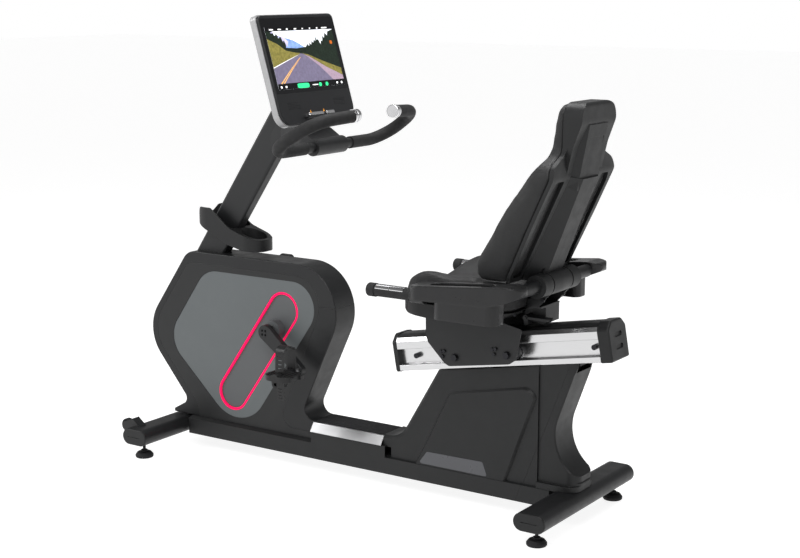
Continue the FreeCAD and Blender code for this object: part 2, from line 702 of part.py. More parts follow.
def generator_stator():
    """Fixed axle with the stator disc, bolted between the tower plates."""
    x, z = FLYWHEEL_X, FLYWHEEL_Z
    stator = rod_y(x, z, FLYWHEEL_RADIUS - 24, 8, 25).fuse(rod_y(x, z, 8, -42, 42))
    stator = stator.fuse(rod_y(x, z, 16, 25, 33.8))
    return stator.removeSplitter()


def pedal_point(side):
    """Pedal axis: the left crank points down and back, the right one up and forward."""
    angle = math.radians(CRANK_DROP_DEG)
    return (CRANK_X - side * CRANK_LENGTH * math.cos(angle), CRANK_Z + side * CRANK_LENGTH * math.sin(angle))


def crank_arm(side):
    px, pz = pedal_point(side)
    outer = side * ARM_OUTER_Y
    inner = side * (ARM_OUTER_Y - ARM_THICK)
    arm = hull_y(((CRANK_X, CRANK_Z, 25), (px, pz, 17)), inner, outer)
    rim = [e for e in arm.Edges if abs(e.CenterOfMass.y - outer) < 0.01]
    arm = arm.makeFillet(3.0, rim)
    arm = arm.cut(rod_y(CRANK_X, CRANK_Z, SPINDLE_RADIUS + FIT_GAP, inner - side, outer - side * 4.9))
    for dx in (-6.5, 6.5):
        for dz in (-6.5, 6.5):
            arm = arm.cut(rod_y(CRANK_X + dx, CRANK_Z + dz, 4.4, outer - side * 4, outer + side))
    return arm.cut(rod_y(px, pz, AXLE_RADIUS + FIT_GAP, inner - side, outer + side))


def pedal_axles():
    """Stepped pedal spindles, with a hexagonal collar outside each arm."""
    axles = []
    for side in SIDES:
        px, pz = pedal_point(side)
        axle = rod_y(px, pz, AXLE_RADIUS, side * (ARM_OUTER_Y - ARM_THICK + 1), side * (PEDAL_OUT_Y - 12))
        collar = hex_y(px, pz, 17, side * (ARM_OUTER_Y + 0.3), side * (ARM_OUTER_Y + 9))
        shoulder = rod_y(px, pz, 11, side * (ARM_OUTER_Y + 9), side * (PEDAL_IN_Y - 3))
        axles.append(axle.fuse(collar).fuse(shoulder).removeSplitter())
    return Part.makeCompound(axles)


def pedal(side):
    """Self-levelling foot platform: oval deck, bearing barrel, rear lugs and a counterweight loop below."""
    px, pz = pedal_point(side)
    y0, y1 = side * PEDAL_IN_Y, side * PEDAL_OUT_Y
    low, high = min(y0, y1), max(y0, y1)
    deck = plan_slab([(px - 52, low, 34), (px + 52, low, 34), (px + 52, high, 34), (px - 52, high, 34)],
                     pz - 10, pz + 6)
    body = deck.fuse(rod_y(px, pz, 14, y0, y1))
    for dx in (-36, -24, 24, 36):
        body = body.fuse(box(px + dx - 3, px + dx + 3, low + 12, high - 12, pz + 5, pz + 9))
    for y in (low + 18, high - 34):
        body = body.fuse(box(px + 46, px + 57, y, y + 16, pz - 9, pz + 4))
    w0, w1 = sorted((side * (PEDAL_IN_Y + 18), side * (STRAP_OUT_Y - 14)))
    weight = side_slab([(px - 46, pz - 9, 0), (px - 4, pz - 9, 0), (px - 8, pz - 46, 14),
                        (px - 40, pz - 46, 14)], w0, w1)
    hollow = side_slab([(px - 38, pz - 11, 0), (px - 13, pz - 11, 0), (px - 16, pz - 38, 6),
                        (px - 33, pz - 38, 6)], w0 - 1, w1 + 1)
    body = body.fuse(weight.cut(hollow))
    for y in (STRAP_IN_Y, STRAP_OUT_Y):
        slot = box(px - 18.5, px + 18.5, y - 4, y + 1, pz - 40, pz + 20)
        body = body.cut(slot if side > 0 else mirrored(slot))
    bore = rod_y(px, pz, AXLE_RADIUS + RUNNING_GAP, y0 - side, y1 - side * 10)
    clear = rod_y(px, pz, 11.4, y0 - side, y0 + side * 2)
    return largest(body.cut(bore).cut(clear).removeSplitter())


def pedal_strap(side):
    """Moulded strap: arch over the foot, down through the deck's slots, with a slotted tail outside."""
    px, pz = pedal_point(side)
    outer = [(STRAP_IN_Y - 3, pz - 8, 0), (STRAP_IN_Y - 3, pz + 84, 14), (STRAP_OUT_Y - 4, pz + 108, 26),
             (STRAP_OUT_Y, pz - 8, 0)]
    inner = [(STRAP_IN_Y, pz - 9, 0), (STRAP_IN_Y, pz + 80.5, 11), (STRAP_OUT_Y - 7.4, pz + 103.6, 23),
             (STRAP_OUT_Y - 3, pz - 9, 0)]
    band = front_slab(outer, px - 17, px + 17).cut(front_slab(inner, px - 18, px + 18))
    tail = front_slab([(STRAP_OUT_Y - 3, pz - 7.9, 0), (STRAP_OUT_Y, pz - 7.9, 0),
                       (STRAP_OUT_Y - 7, pz - 78, 0),
                       (STRAP_OUT_Y - 10, pz - 78, 0)], px - 14, px + 14)
    strap = band.fuse(tail)
    for k in range(4):
        for low in (pz + 24 + 13 * k, pz - 72 + 10 * k):
            strap = strap.cut(box(px - 8, px + 8, STRAP_OUT_Y - 20, STRAP_OUT_Y + 4, low, low + 4))
    for y in (STRAP_IN_Y, STRAP_OUT_Y):
        strap = strap.cut(rod_y(px, pz, 14.4, y - 6, y + 3))
    strap = strap.removeSplitter()
    return strap if side > 0 else mirrored(strap)


# ---------------------------------------------------------------- mast, console and handlebar

def mast():
    """Leaning box-section mast with a broad neck and the handlebar's clamp sleeve."""
    half_deep = MAST_DEEP / 2
    half_wide = MAST_WIDE / 2
    section = [(-half_deep, -half_wide, 9), (half_deep, -half_wide, 9), (half_deep, half_wide, 9),
               (-half_deep, half_wide, 9)]
    core = [(-half_deep + 3, -half_wide + 3, 6), (half_deep - 3, -half_wide + 3, 6),
            (half_deep - 3, half_wide - 3, 6), (-half_deep + 3, half_wide - 3, 6)]
    column = on_mast(plan_slab(section, -150, 640)).cut(on_mast(plan_slab(core, -151, 641)))
    neck = side_slab([(-400, 1040, 0), (-300, 1046, 60), (BAR_X, BAR_Z - 22, 20), (BAR_X, BAR_Z + 22, 0),
                      (-205, 1110, 60), (-290, 1136, 0), (-330, 1150, 0)], -80, 80)
    plan = plan_slab([(-420, -20, 0), (-330, -24, 0), (-215, -76, 40), (BAR_X, -76, 0), (BAR_X, 76, 0),
                      (-215, 76, 40), (-330, 24, 0), (-420, 20, 0)], 1000, 1200)
    neck = neck.common(plan).cut(on_mast(plan_slab(core, -151, 641)))
    head = column.fuse(neck).fuse(rod_y(BAR_X, BAR_Z, SLEEVE_RADIUS, -SLEEVE_HALF_LENGTH, SLEEVE_HALF_LENGTH))
    head = head.cut(rod_y(BAR_X, BAR_Z, BAR_RADIUS + FIT_GAP, -100, 100))
    behind_console = on_console(box(-62, 400, -300, 300, -110, 400))
    return largest(head.cut(behind_console))


def bar_points(side):
    points = [(BAR_X, 0.0, BAR_Z)]
    for x, y, z in BAR_ROUTE:
        points.append((x, side * y, z))
    return points


def handlebar():
    """One steel tube through the sleeve, bent up and in to a grip on each side."""
    halves = [swept_tube(bar_points(side), BAR_BENDS, BAR_RADIUS) for side in SIDES]
    return halves[0].fuse(halves[1]).removeSplitter()


def handlebar_grips():
    """Foam sleeves from beside the clamp round both bends to the ends."""
    grips = []
    for side in SIDES:
        points = bar_points(side)
        points[0] = (BAR_X, side * 118.0, BAR_Z)
        grips.append(swept_tube(points, BAR_BENDS, GRIP_RADIUS, BAR_RADIUS + FIT_GAP))
    return Part.makeCompound(grips)


def handlebar_end_caps():
    """Bright ribbed caps that close the bar's ends."""
    caps = []
    for side in SIDES:
        x0, y0, z0 = BAR_ROUTE[1]
        x1, y1, z1 = BAR_ROUTE[2]
        along = vec(x1 - x0, side * (y1 - y0), z1 - z0).normalize()
        start = vec(x1, side * y1, z1) + along * 0.1
        cap = Part.makeCylinder(20.5, 9, start, along)
        cap = cap.fuse(Part.makeCylinder(18.5, 13, start, along))
        cap = cap.fuse(Part.makeCylinder(20.5, 12, start + along * 12, along))
        tip = [e for e in cap.Edges if (e.CenterOfMass - (start + along * 24)).Length < 0.5]
        caps.append(cap.makeFillet(2.0, tip).removeSplitter())
    return Part.makeCompound(caps)


def console_outline(grow):
    """Console seen square on: Y and up-the-glass corners with their radii."""
    half = CONSOLE_HALF_WIDTH + grow
    low, high = -102.0 - grow, 251.0 + grow
    return [(-half, low, 46), (half, low, 46), (half, high, 17), (-half, high, 17)]


def console_slab(grow, x0, x1):
    return front_slab(console_outline(grow), x0, x1)


def console_bezel():
    """Dark front frame with the glass recess, two sound grilles and a device ledge."""
    bezel = console_slab(-3, -9.0, 0.0)
    rim = [e for e in bezel.Edges if abs(e.CenterOfMass.x) < 0.01]
    bezel = bezel.makeFillet(3.5, rim)
    half = GLASS_HALF_WIDTH
    glass = [(-half, 0, 3), (half, 0, 3), (half, GLASS_HIGH, 8), (-half, GLASS_HIGH, 8)]
    bezel = bezel.cut(front_slab(glass, -4, 1))
    for side in SIDES:
        for row in range(5):
            for column in range(12):
                y = side * 118 - 27.5 + 5 * column
                bezel = bezel.cut(Part.makeCylinder(1.3, 3, vec(-2, y, -50 + 5 * row), vec(1, 0, 0)))
    ledge = side_slab([(-2, -84, 0), (14, -86, 3), (14, -80, 2), (3, -77, 2), (-2, -72, 0)], -78, 78)
    return on_console(bezel.fuse(ledge).removeSplitter())


def console_trim():
    """Bright band round the console's edge."""
    band = console_slab(0, -33.0, -9.1)
    rim = [e for e in band.Edges if abs(e.CenterOfMass.x + 33.0) < 0.01]
    band = band.makeFillet(5.0, rim)
    return on_console(band.cut(console_slab(-9, -40, 0)))


def console_back():
    """Rear shell, stepped in to the mast bracket."""
    shell = console_slab(-9.4, -48.0, -9.2)
    rim = [e for e in shell.Edges if abs(e.CenterOfMass.x + 48.0) < 0.01]
    shell = shell.makeChamfer(13, rim)
    bulge = front_slab([(-120, -70, 25), (120, -70, 25), (120, 170, 25), (-120, 170, 25)], -61.0, -47)
    edge = [e for e in bulge.Edges if abs(e.CenterOfMass.x + 61.0) < 0.01]
    shell = shell.fuse(bulge.makeChamfer(8, edge))
    return on_console(shell.cut(console_slab(-13, -40, -12)).removeSplitter())


def screen():
    """Glass over the display, a little below the bezel."""
    half = GLASS_HALF_WIDTH - 0.3
    high = GLASS_HIGH - 0.3
    glass = [(-half, 0.3, 3), (half, 0.3, 3), (half, high, 8), (-half, high, 8)]
    return on_console(front_slab(glass, -3.9, -0.5))


HOLDER_FRONT_X = -683.0
HOLDER_REAR_X = -407.0
HOLDER_HALF_WIDTH = 60.0
HOLDER_WALL = 5.0
CUP_X = -467.0
CUP_RADIUS = 43.5
CUP_FLOOR_Z = 707.0


def bottle_holder():
    """Sloping tray round the mast with a round cup behind it."""
    half = HOLDER_HALF_WIDTH
    round_end = half * 0.999
    plan = [(HOLDER_FRONT_X, -half, round_end), (HOLDER_REAR_X, -half, round_end),
            (HOLDER_REAR_X, half, round_end), (HOLDER_FRONT_X, half, round_end)]
    under = [(HOLDER_FRONT_X, 787, 8), (-530, 717, 60), (-470, 702, 30), (HOLDER_REAR_X + 2, 699, 6)]
    over = [(HOLDER_REAR_X + 2, 738, 3), (-430, 740, 40), (-524, 772, 60), (-606, 834, 16), (-655, 834, 12)]
    outer = plan_slab(plan, 690, 850).common(side_slab(under + over, -80, 80))
    inner_front = HOLDER_FRONT_X + HOLDER_WALL
    inner = half - HOLDER_WALL
    tray_plan = [(inner_front, -inner, inner * 0.999), (-520, -inner, 14), (-520, inner, 14),
                 (inner_front, inner, inner * 0.999)]
    room = [(x, z + 7, r) for x, z, r in under] + [(HOLDER_REAR_X, 900, 0), (-645, 900, 0)]
    holder = outer.cut(plan_slab(tray_plan, 690, 900).common(side_slab(room, -80, 80)))
    holder = holder.cut(Part.makeCylinder(CUP_RADIUS, 100, vec(CUP_X, 0, CUP_FLOOR_Z)))
    deep, wide = MAST_DEEP / 2 + 0.6, MAST_WIDE / 2 + 0.6
    return largest(holder.cut(on_mast(box(-deep, deep, -wide, wide, -100, 500))))


# ---------------------------------------------------------------- rail

def rail_section(x0, x1):
    """Aluminium extrusion with a roller channel on each side and three hollow chambers."""
    half = RAIL_HALF_WIDTH
    web = CHANNEL_WEB_Y
    right = [(half, 0, 2), (half, LIP_HIGH, 2), (web, LIP_HIGH, 2), (web, CHANNEL_TOP, 2),
             (half, CHANNEL_TOP, 2),
             (half, 90, 3), (49, 104, 6), (26, 106.9, 0)]
    left = [(-y, z, r) for y, z, r in reversed(right)]
    solid = front_slab(right + left, x0, x1)
    solid = solid.cut(front_slab([(-32, 5, 2), (32, 5, 2), (32, 46, 2), (-32, 46, 2)], x0 - 1, x1 + 1))
    solid = solid.cut(front_slab([(-32, 51, 2), (32, 51, 2), (32, 100, 6), (-32, 100, 6)], x0 - 1, x1 + 1))
    for side in SIDES:
        y0, y1 = side * 37, side * 52
        low, high = min(y0, y1), max(y0, y1)
        solid = solid.cut(front_slab([(low, 72, 2), (high, 72, 2), (high, 87, 2), (low, 87, 2)],
                                     x0 - 1, x1 + 1))
    return solid


def seat_rail():
    rail = rail_section(0, RAIL_LENGTH)
    for u in STOP_U:
        rail = rail.cut(rod_y(u, 44, 5 + FIT_GAP, -60, 60))
    return on_rail(rail)


def rail_top_cover():
    """Black strip along the crown of the rail."""
    crown = [(-47, 105.4, 0), (-26, 107.2, 0), (26, 107.2, 0), (47, 105.4, 0), (30, RAIL_HIGH - 1, 30),
             (0, RAIL_HIGH + 1, 60), (-30, RAIL_HIGH - 1, 30)]
    return on_rail(front_slab(crown, 1, RAIL_LENGTH - 1))


def rail_end_caps():
    """Moulded end blocks; the rear one carries two shallow slots."""
    outline = [(-56.5, -3, 6), (56.5, -3, 6), (56.5, 92, 12), (34, 115, 18), (-34, 115, 18), (-56.5, 92, 12)]
    front = front_slab(outline, -19, -0.3)
    face = [e for e in front.Edges if abs(e.CenterOfMass.x + 19) < 0.01]
    front = front.makeChamfer(5, face)
    end = RAIL_LENGTH + 0.3
    rear = front_slab(outline, end, end + REAR_CAP_THICK)
    face = [e for e in rear.Edges if abs(e.CenterOfMass.x - end - REAR_CAP_THICK) < 0.01]
    rear = rear.makeFillet(6, face)
    for z in (36, 72):
        slot = [(-23, z - 7, 6.9), (23, z - 7, 6.9), (23, z + 7, 6.9), (-23, z + 7, 6.9)]
        rear = rear.cut(front_slab(slot, end + REAR_CAP_THICK - 4, end + REAR_CAP_THICK + 8))
    return Part.makeCompound([on_rail(front), on_rail(rear)])


def rail_stop_bolts():
    """Rubber-headed bolts that stop the rollers."""
    bolts = []
    for u in STOP_U:
        for side in SIDES:
            shank = rod_y(u, 44, 5, side * 33, side * 40)
            head = rod_y(u, 44, 8, side * 37.1, side * 52)
            bolts.append(on_rail(shank.fuse(head)))
    return Part.makeCompound(bolts)


# ---------------------------------------------------------------- seat

PLATE = [(266, 597, 3), (267, 523, 10), (274, 502, 20), (334, 443, 10), (350, 436, 16), (557, 470, 20),
         (580, 487, 10), (597, 579, 6), (509, 596, 8), (500, 597, 0)]


BRACKET = [(470, 597, 0), (520, 597, 0), (541, 605, 20), (580, 630, 20), (634, 644, 20), (659, 674, 20),
           (684, 700, 18), (655, 745, 20), (622, 738, 10), (609, 666, 8), (556, 664, 20), (505, 612, 10),
           (470, 612, 0)]
BRACKET_IN_Y = 55.0
LATCH_IN_Y = -28.0


def rail_point(u, w):
    angle = math.radians(RAIL_SLOPE_DEG)
    x = RAIL_ORIGIN[0] + u * math.cos(angle) - w * math.sin(angle)
    z = RAIL_ORIGIN[1] + u * math.sin(angle) + w * math.cos(angle)
    return x, z


def small_bolt_points():
    """Three small bolts beside each roller."""
    points = []
    for x, z in ((322, 478), (500, 508)):
        points += [(x, z), (x + 11, z + 3), (x + 6, z - 14)]
    return points


def carriage_frame():
    """Steel seat carriage: two cheek plates, the deck under the seat and the backrest bracket."""
    frame = box(272, 512, -PLATE_OUT_Y, PLATE_OUT_Y, 592, 597)
    for side in SIDES:
        y0, y1 = side * (PLATE_OUT_Y - PLATE_THICK), side * PLATE_OUT_Y
        cheek = side_slab(PLATE, min(y0, y1), max(y0, y1))
        for u in ROLLER_U:
            x, z = rail_point(u, ROLLER_W)
            cheek = cheek.cut(rod_y(x, z, 6 + FIT_GAP, -100, 100))
        for x, z in small_bolt_points():
            cheek = cheek.cut(rod_y(x, z, 3 + FIT_GAP, -100, 100))
        frame = frame.fuse(cheek)
        y0, y1 = side * BRACKET_IN_Y, side * (BRACKET_IN_Y + 5)
        bracket = side_slab(BRACKET, min(y0, y1), max(y0, y1)).cut(rod_y(541, 620, 5, -100, 100))
        frame = frame.fuse(bracket)
    frame = frame.fuse(box(455, 511, -60, 60, 597, 601)).fuse(latch_box())
    frame = frame.cut(rod_y(TUBE_AXIS[0], TUBE_AXIS[1], ARM_TUBE_RADIUS + FIT_GAP, -100, 100))
    return frame.removeSplitter()


def latch_box():
    """Black steel housing under the bracket, with the pin that the release lever turns on."""
    px, pz = LEVER_PIVOT
    shell = box(572, 641, LATCH_IN_Y, 54, 590.5, 645).cut(box(575, 638, LATCH_IN_Y + 3, 51, 580, 642))
    web = box(572, 641, 50, BRACKET_IN_Y + 1, 640, 645)
    shell = shell.fuse(web).fuse(box(572, 641, -BRACKET_IN_Y - 1, LATCH_IN_Y + 1, 640, 645))
    return shell.fuse(rod_y(px, pz, 5, -62, LATCH_IN_Y + 1))


def carriage_bolts():
    """Roller axles with spacer sleeves and hexagonal heads, and the small cheek and bracket bolts."""
    bolts = []
    for side in SIDES:
        for u in ROLLER_U:
            x, z = rail_point(u, ROLLER_W)
            axle = rod_y(x, z, 6, side * 38.5, side * (PLATE_OUT_Y + 1))
            sleeve = rod_y(x, z, 11, side * 56.5, side * (PLATE_OUT_Y - PLATE_THICK - 0.02))
            y0, y1 = side * (PLATE_OUT_Y + 0.02), side * (PLATE_OUT_Y + 8)
            head = hex_y(x, z, 19, min(y0, y1), max(y0, y1))
            washer = rod_y(x, z, 12.5, side * (PLATE_OUT_Y + 0.02), side * (PLATE_OUT_Y + 2))
            bolts.append(axle.fuse(sleeve).fuse(head).fuse(washer).removeSplitter())
        for x, z in small_bolt_points():
            y0, y1 = side * (PLATE_OUT_Y + 0.02), side * (PLATE_OUT_Y + 5)
            head = hex_y(x, z, 10, min(y0, y1), max(y0, y1))
            bolts.append(head.fuse(rod_y(x, z, 3, side * (PLATE_OUT_Y - 8), side * (PLATE_OUT_Y + 1))))
        for x, z in ((556, 614), (649, 667)):
            y0, y1 = side * (BRACKET_IN_Y + 5.02), side * (BRACKET_IN_Y + 9)
            bolts.append(hex_y(x, z, 11, min(y0, y1), max(y0, y1)))
    return Part.makeCompound(bolts)


def rollers(u):
    """A pair of nylon rollers on one axle line."""
    x, z = rail_point(u, ROLLER_W)
    pair = []
    for side in SIDES:
        roller = rod_y(x, z, ROLLER_RADIUS, side * 39.5, side * 55.5)
        roller = roller.cut(rod_y(x, z, 6 + RUNNING_GAP, -60, 60))
        pair.append(roller)
    return Part.makeCompound(pair)


def release_lever():
    """Lift-up paddle beside the latch box, with the cam that holds the carriage on the rail."""
    px, pz = LEVER_PIVOT
    hub = rod_y(px, pz, 9, -59, LATCH_IN_Y - 2)
    cam = side_slab([(px - 8, pz, 0), (px + 8, pz, 0), (px + 6, pz - 22, 4), (px - 6, pz - 22, 4)], -56, -32)
    paddle = plan_slab([(px, -59, 0), (px + 80, -59, 8), (px + 80, -30, 8), (px, -30, 0)], pz - 3.5, pz + 3.5)
    lever = hub.fuse(cam).fuse(paddle)
    return lever.cut(rod_y(px, pz, 5 + RUNNING_GAP, -70, 0)).removeSplitter()


def bracket_room():
    """Space under the rear of the seat that the backrest bracket rises through."""
    half = BRACKET_IN_Y + 11
    return box(452, 500, -half, half, 590, 616).fuse(box(500, 700, -half, half, 590, 668))


def seat_pan():
    """Moulded tray under the seat cushion."""
    half = SEAT_HALF_WIDTH - 3
    front = SEAT_FRONT_X - 2
    plan = plan_slab([(front, -half, 90), (SEAT_REAR_X, -half, 50), (SEAT_REAR_X, half, 50),
                      (front, half, 90)], 590, 650)
    profile = side_slab([(front, SEAT_SEAM_Z, 0), (front + 2, 618, 10), (256, 604, 40), (340, 597.3, 60),
                         (520, 597.3, 20), (SEAT_REAR_X, SEAT_SEAM_Z, 0)], -220, 220)
    return largest(plan.common(profile).cut(bracket_room()))


def seat_cushion():
    """Contoured foam seat: a plain closed solid of its outer form, hollowed between its side bolsters."""
    half = SEAT_HALF_WIDTH
    front, rear, low = SEAT_FRONT_X, SEAT_REAR_X, SEAT_SEAM_Z + 0.5
    plan = plan_slab([(front, -half, 90), (rear, -half, 50), (rear, half, 50), (front, half, 90)], 630, 750)
    profile = side_slab([(front, low, 0), (226, 662, 20), (262, 712, 34), (300, 734, 34), (340, 737, 60),
                         (400, 727, 80), (458, 731, 40), (486, 735, 6), (500, 722, 4), (rear, 722, 0),
                         (rear, low, 0)], -220, 220)
    trough = Part.makeCylinder(TROUGH_RADIUS, 500, vec(200, 0, 672 + TROUGH_RADIUS), vec(1, 0, 0))
    return largest(plan.common(profile).cut(trough).cut(bracket_room()))


BACK_LINE = ((600.0, 728.0), (743.0, 1033.0))
CUSHION_BACK = [(588, 727, 0), (731, 1035, 40), (726, 1075, 60), (726, 1241, 0)]
CUSHION_FRONT = [(706, 1238, 16), (692, 1125, 90), (682, 1068, 60), (588, 938, 300), (494, 785, 70),
                 (494, 745, 12), (506, 727, 12)]
HEAD_TOP = 1241.0
HEAD_REAR_X = 785.0
SPINE_FACE_HALF = 45.0
SPINE_BASE_HALF = 110.0
PANEL_HALF = 57.0
SHELL_WALL = 4.0


def back_front_view(grow):
    """The backrest seen from the front: nearly straight sides, drawn in at the neck to the headrest."""
    wide = BACK_HALF_WIDTH + grow
    head = HEAD_HALF_WIDTH + grow
    top = HEAD_TOP + grow
    right = [(wide - 7, 722, 28), (wide + 1, 900, 300), (wide - 1, 1062, 45), (head + 4, 1099, 40),
             (head, top, 46)]
    left = [(-y, z, r) for y, z, r in reversed(right)]
    return right + left


def backrest_cushion():
    """Contoured foam back with its headrest: a plain closed solid of its outer form."""
    profile = side_slab(CUSHION_BACK + CUSHION_FRONT, -220, 220)
    return profile.common(front_slab(back_front_view(0), 450, 850))


def bar_on_line(start, end, first, last):
    """Solid between two (y, depth) sections at the ends of a line in X and Z; depth is behind the line."""
    length = math.hypot(end[0] - start[0], end[1] - start[1])
    ux, uz = (end[0] - start[0]) / length, (end[1] - start[1]) / length
    wires = []
    for (x, z), section in ((start, first), (end, last)):
        points = [vec(x + depth * uz, y, z - depth * ux) for y, depth in section]
        wires.append(Part.makePolygon(points + points[:1]))
    return Part.makeLoft(wires, True, True)


def trapezoid(base_half, face_half, front, rear):
    return [(-base_half, front), (base_half, front), (face_half, rear), (-face_half, rear)]


def spine(shrink):
    """Raised middle of the rear shell, deepest at the barrel; shrink gives its hollow."""
    face, base = SPINE_FACE_HALF - shrink, SPINE_BASE_HALF - 1.6 * shrink
    front = -BACK_THICK - 2 * shrink
    return bar_on_line(BACK_LINE[0], BACK_LINE[1], trapezoid(base, face, front, 44 - shrink),
                       trapezoid(base, face, front, 21 - shrink))


def head_block(shrink):
    """Deep part behind the headrest and neck: full width at the top, with a raised middle panel below."""
    half, panel = HEAD_HALF_WIDTH - 0.5 - shrink, PANEL_HALF - 0.6 * shrink
    rear = HEAD_REAR_X - shrink
    section = [(-half, -95), (half, -95), (half, -32 - shrink), (panel, -shrink), (-panel, -shrink),
               (-half, -32 - shrink)]
    raised = bar_on_line((748, 990), (HEAD_REAR_X, 1178), section, section)
    body = side_slab([(700, 1024 + shrink, 0), (738 - shrink, 1024 + shrink, 0), (746 - shrink, 1062, 60),
                      (759 - shrink, 1118, 60), (rear, 1186, 40), (rear, HEAD_TOP - shrink, 14),
                      (700, HEAD_TOP - shrink, 0)], -half - 4, half + 4)
    underside = side_slab([(600, 1062 + shrink, 0), (709, 1022 + shrink, 0), (760, 982 + shrink, 0),
                           (900, 982, 0), (900, 1300, 0), (600, 1300, 0)], -200, 200)
    return raised.fuse(body).common(underside).common(front_slab(back_front_view(-0.5 - shrink), 450, 850))


def backrest_shell():
    """Rear moulding: rim with a slot each side, tapering spine, deep headrest and pivot barrel."""
    rim = side_slab([(584, 728.5, 0), (600.2, 728.5, 0), (743, 1033, 30), (740, 1075, 60), (742, HEAD_TOP, 0),
                     (700, HEAD_TOP, 0), (700, 1035, 0)], -220, 220)
    shell = rim.common(front_slab(back_front_view(-1), 450, 850))
    for side in SIDES:
        window = front_slab([(114, 742, 0), (168, 742, 14), (170, 1000, 60), (158, 1024, 14),
                             (114, 1024, 6)], 500, 900)
        shell = shell.cut(window if side > 0 else mirrored(window))
    shell = shell.fuse(spine(0)).fuse(head_block(0))
    shell = shell.cut(spine(SHELL_WALL).common(box(400, 900, -150, 150, 752, 1015)))
    shell = shell.cut(head_block(SHELL_WALL).cut(box(400, 900, -150, 150, 900, 1050)))
    barrel = rod_y(TUBE_AXIS[0], TUBE_AXIS[1], BARREL_RADIUS, -BARREL_HALF_LENGTH, BARREL_HALF_LENGTH)
    shell = shell.fuse(barrel)
    shell = shell.cut(rod_y(TUBE_AXIS[0], TUBE_AXIS[1], ARM_TUBE_RADIUS + FIT_GAP, -200, 200))
    grown = [(x + 0.4, z, r) for x, z, r in CUSHION_BACK[:3]]
    keep_out = side_slab(grown + [(726.4, HEAD_TOP + 30, 0), (450, HEAD_TOP + 30, 0),
                                  (450, 727, 0)], -250, 250)
    shell = shell.cut(keep_out)
    for side in SIDES:
        y0, y1 = side * (BRACKET_IN_Y - 0.5), side * (BRACKET_IN_Y + 5.5)
        slot = side_slab([(560, 590, 0), (700, 590, 0), (700, 700, 0), (672, 762, 0), (602, 756, 0),
                          (560, 700, 0)],
                         min(y0, y1), max(y0, y1))
        shell = shell.cut(slot)
    recess = bar_on_line((773, 1086), (782, 1141), trapezoid(45, 45, -5, 0.2), trapezoid(45, 45, -5, 2))
    return largest(shell.cut(recess))


def armrest_tube():
    """Cross tube through the barrel, turned down where it enters the armrests."""
    x, z = TUBE_AXIS
    tube = rod_y(x, z, ARM_TUBE_RADIUS, -ARMREST_IN_Y + 0.4, ARMREST_IN_Y - 0.4)
    tube = tube.fuse(rod_y(x, z, ARM_STUB_RADIUS, -ARMREST_IN_Y - 26, ARMREST_IN_Y + 26))
    return tube.cut(rod_y(x, z, ARM_STUB_RADIUS - 3, -260, 260))


def armrest():
    """Left armrest: rounded frame with a deep tray, and a collar for the hand grip."""
    low, high = -ARMREST_OUT_Y, -ARMREST_IN_Y
    front, rear = 322, 692
    plan = plan_slab([(front, low, 36), (rear, low, 40), (rear, high, 34), (front, high, 36)], 600, 760)
    profile = side_slab([(front, 670, 12), (front, 711, 12), (585, 733, 80), (650, 739, 40), (rear, 735, 14),
                         (rear, 712, 14), (640, 690, 60), (590, 678, 60)], -400, 0)
    body = largest(plan.common(profile))
    bin_plan = [(408, low + 1, 28), (618, low + 1, 30), (618, high - 8, 25), (408, high - 8, 25)]
    body = body.fuse(plan_slab(bin_plan, 623, 690))
    body = body.fuse(Part.makeCylinder(23, 45, vec(319, -SEAT_GRIP_Y, SEAT_GRIP_Z), vec(1, 0, 0)))
    tray_out, tray_in = -268, -222
    tray = [(385, tray_out, 22), (600, tray_out, 22), (600, tray_in, 22), (385, tray_in, 22)]
    body = body.cut(plan_slab(tray, 694, 800))
    deep = [(414, tray_out, 22), (600, tray_out, 22), (600, tray_in, 22), (414, tray_in, 22)]
    body = body.cut(plan_slab(deep, 628, 800))
    socket = Part.makeCylinder(SEAT_GRIP_RADIUS + FIT_GAP, 33, vec(315, -SEAT_GRIP_Y, SEAT_GRIP_Z),
                               vec(1, 0, 0))
    body = body.cut(socket)
    body = body.cut(rod_y(TUBE_AXIS[0], TUBE_AXIS[1], ARM_STUB_RADIUS + FIT_GAP, -ARMREST_IN_Y - 27, -150))
    return largest(body.removeSplitter())


def seat_grips():
    """Hand grips beside the seat, with a rounded end."""
    tip = SEAT_GRIP_TIP_X
    foot_point = vec(tip, -SEAT_GRIP_Y, SEAT_GRIP_Z)
    grip = Part.makeCylinder(SEAT_GRIP_RADIUS, 347 - tip, foot_point, vec(1, 0, 0))
    grip = grip.fuse(Part.makeCylinder(SEAT_GRIP_RADIUS + 2, 28, foot_point, vec(1, 0, 0)))
    end = [e for e in grip.Edges if abs(e.CenterOfMass.x - tip) < 0.01]
    return both_sides(grip.makeFillet(6, end).removeSplitter())


def pulse_sensors():
    """Bright pulse plates let into the top of each hand grip."""
    plates = []
    for x in (196, 246):
        ring = Part.makeCylinder(SEAT_GRIP_RADIUS + 1.2, 48, vec(x, -SEAT_GRIP_Y, SEAT_GRIP_Z), vec(1, 0, 0))
        core = Part.makeCylinder(SEAT_GRIP_RADIUS + FIT_GAP, 50,
                                 vec(x - 1, -SEAT_GRIP_Y, SEAT_GRIP_Z), vec(1, 0, 0))
        ring = ring.cut(core)
        plates.append(ring.common(box(x, x + 48, -SEAT_GRIP_Y - 17, -SEAT_GRIP_Y + 17, SEAT_GRIP_Z + 6, 720)))
    return Part.makeCompound(plates + [mirrored(p) for p in plates])


# ---------------------------------------------------------------- nodes

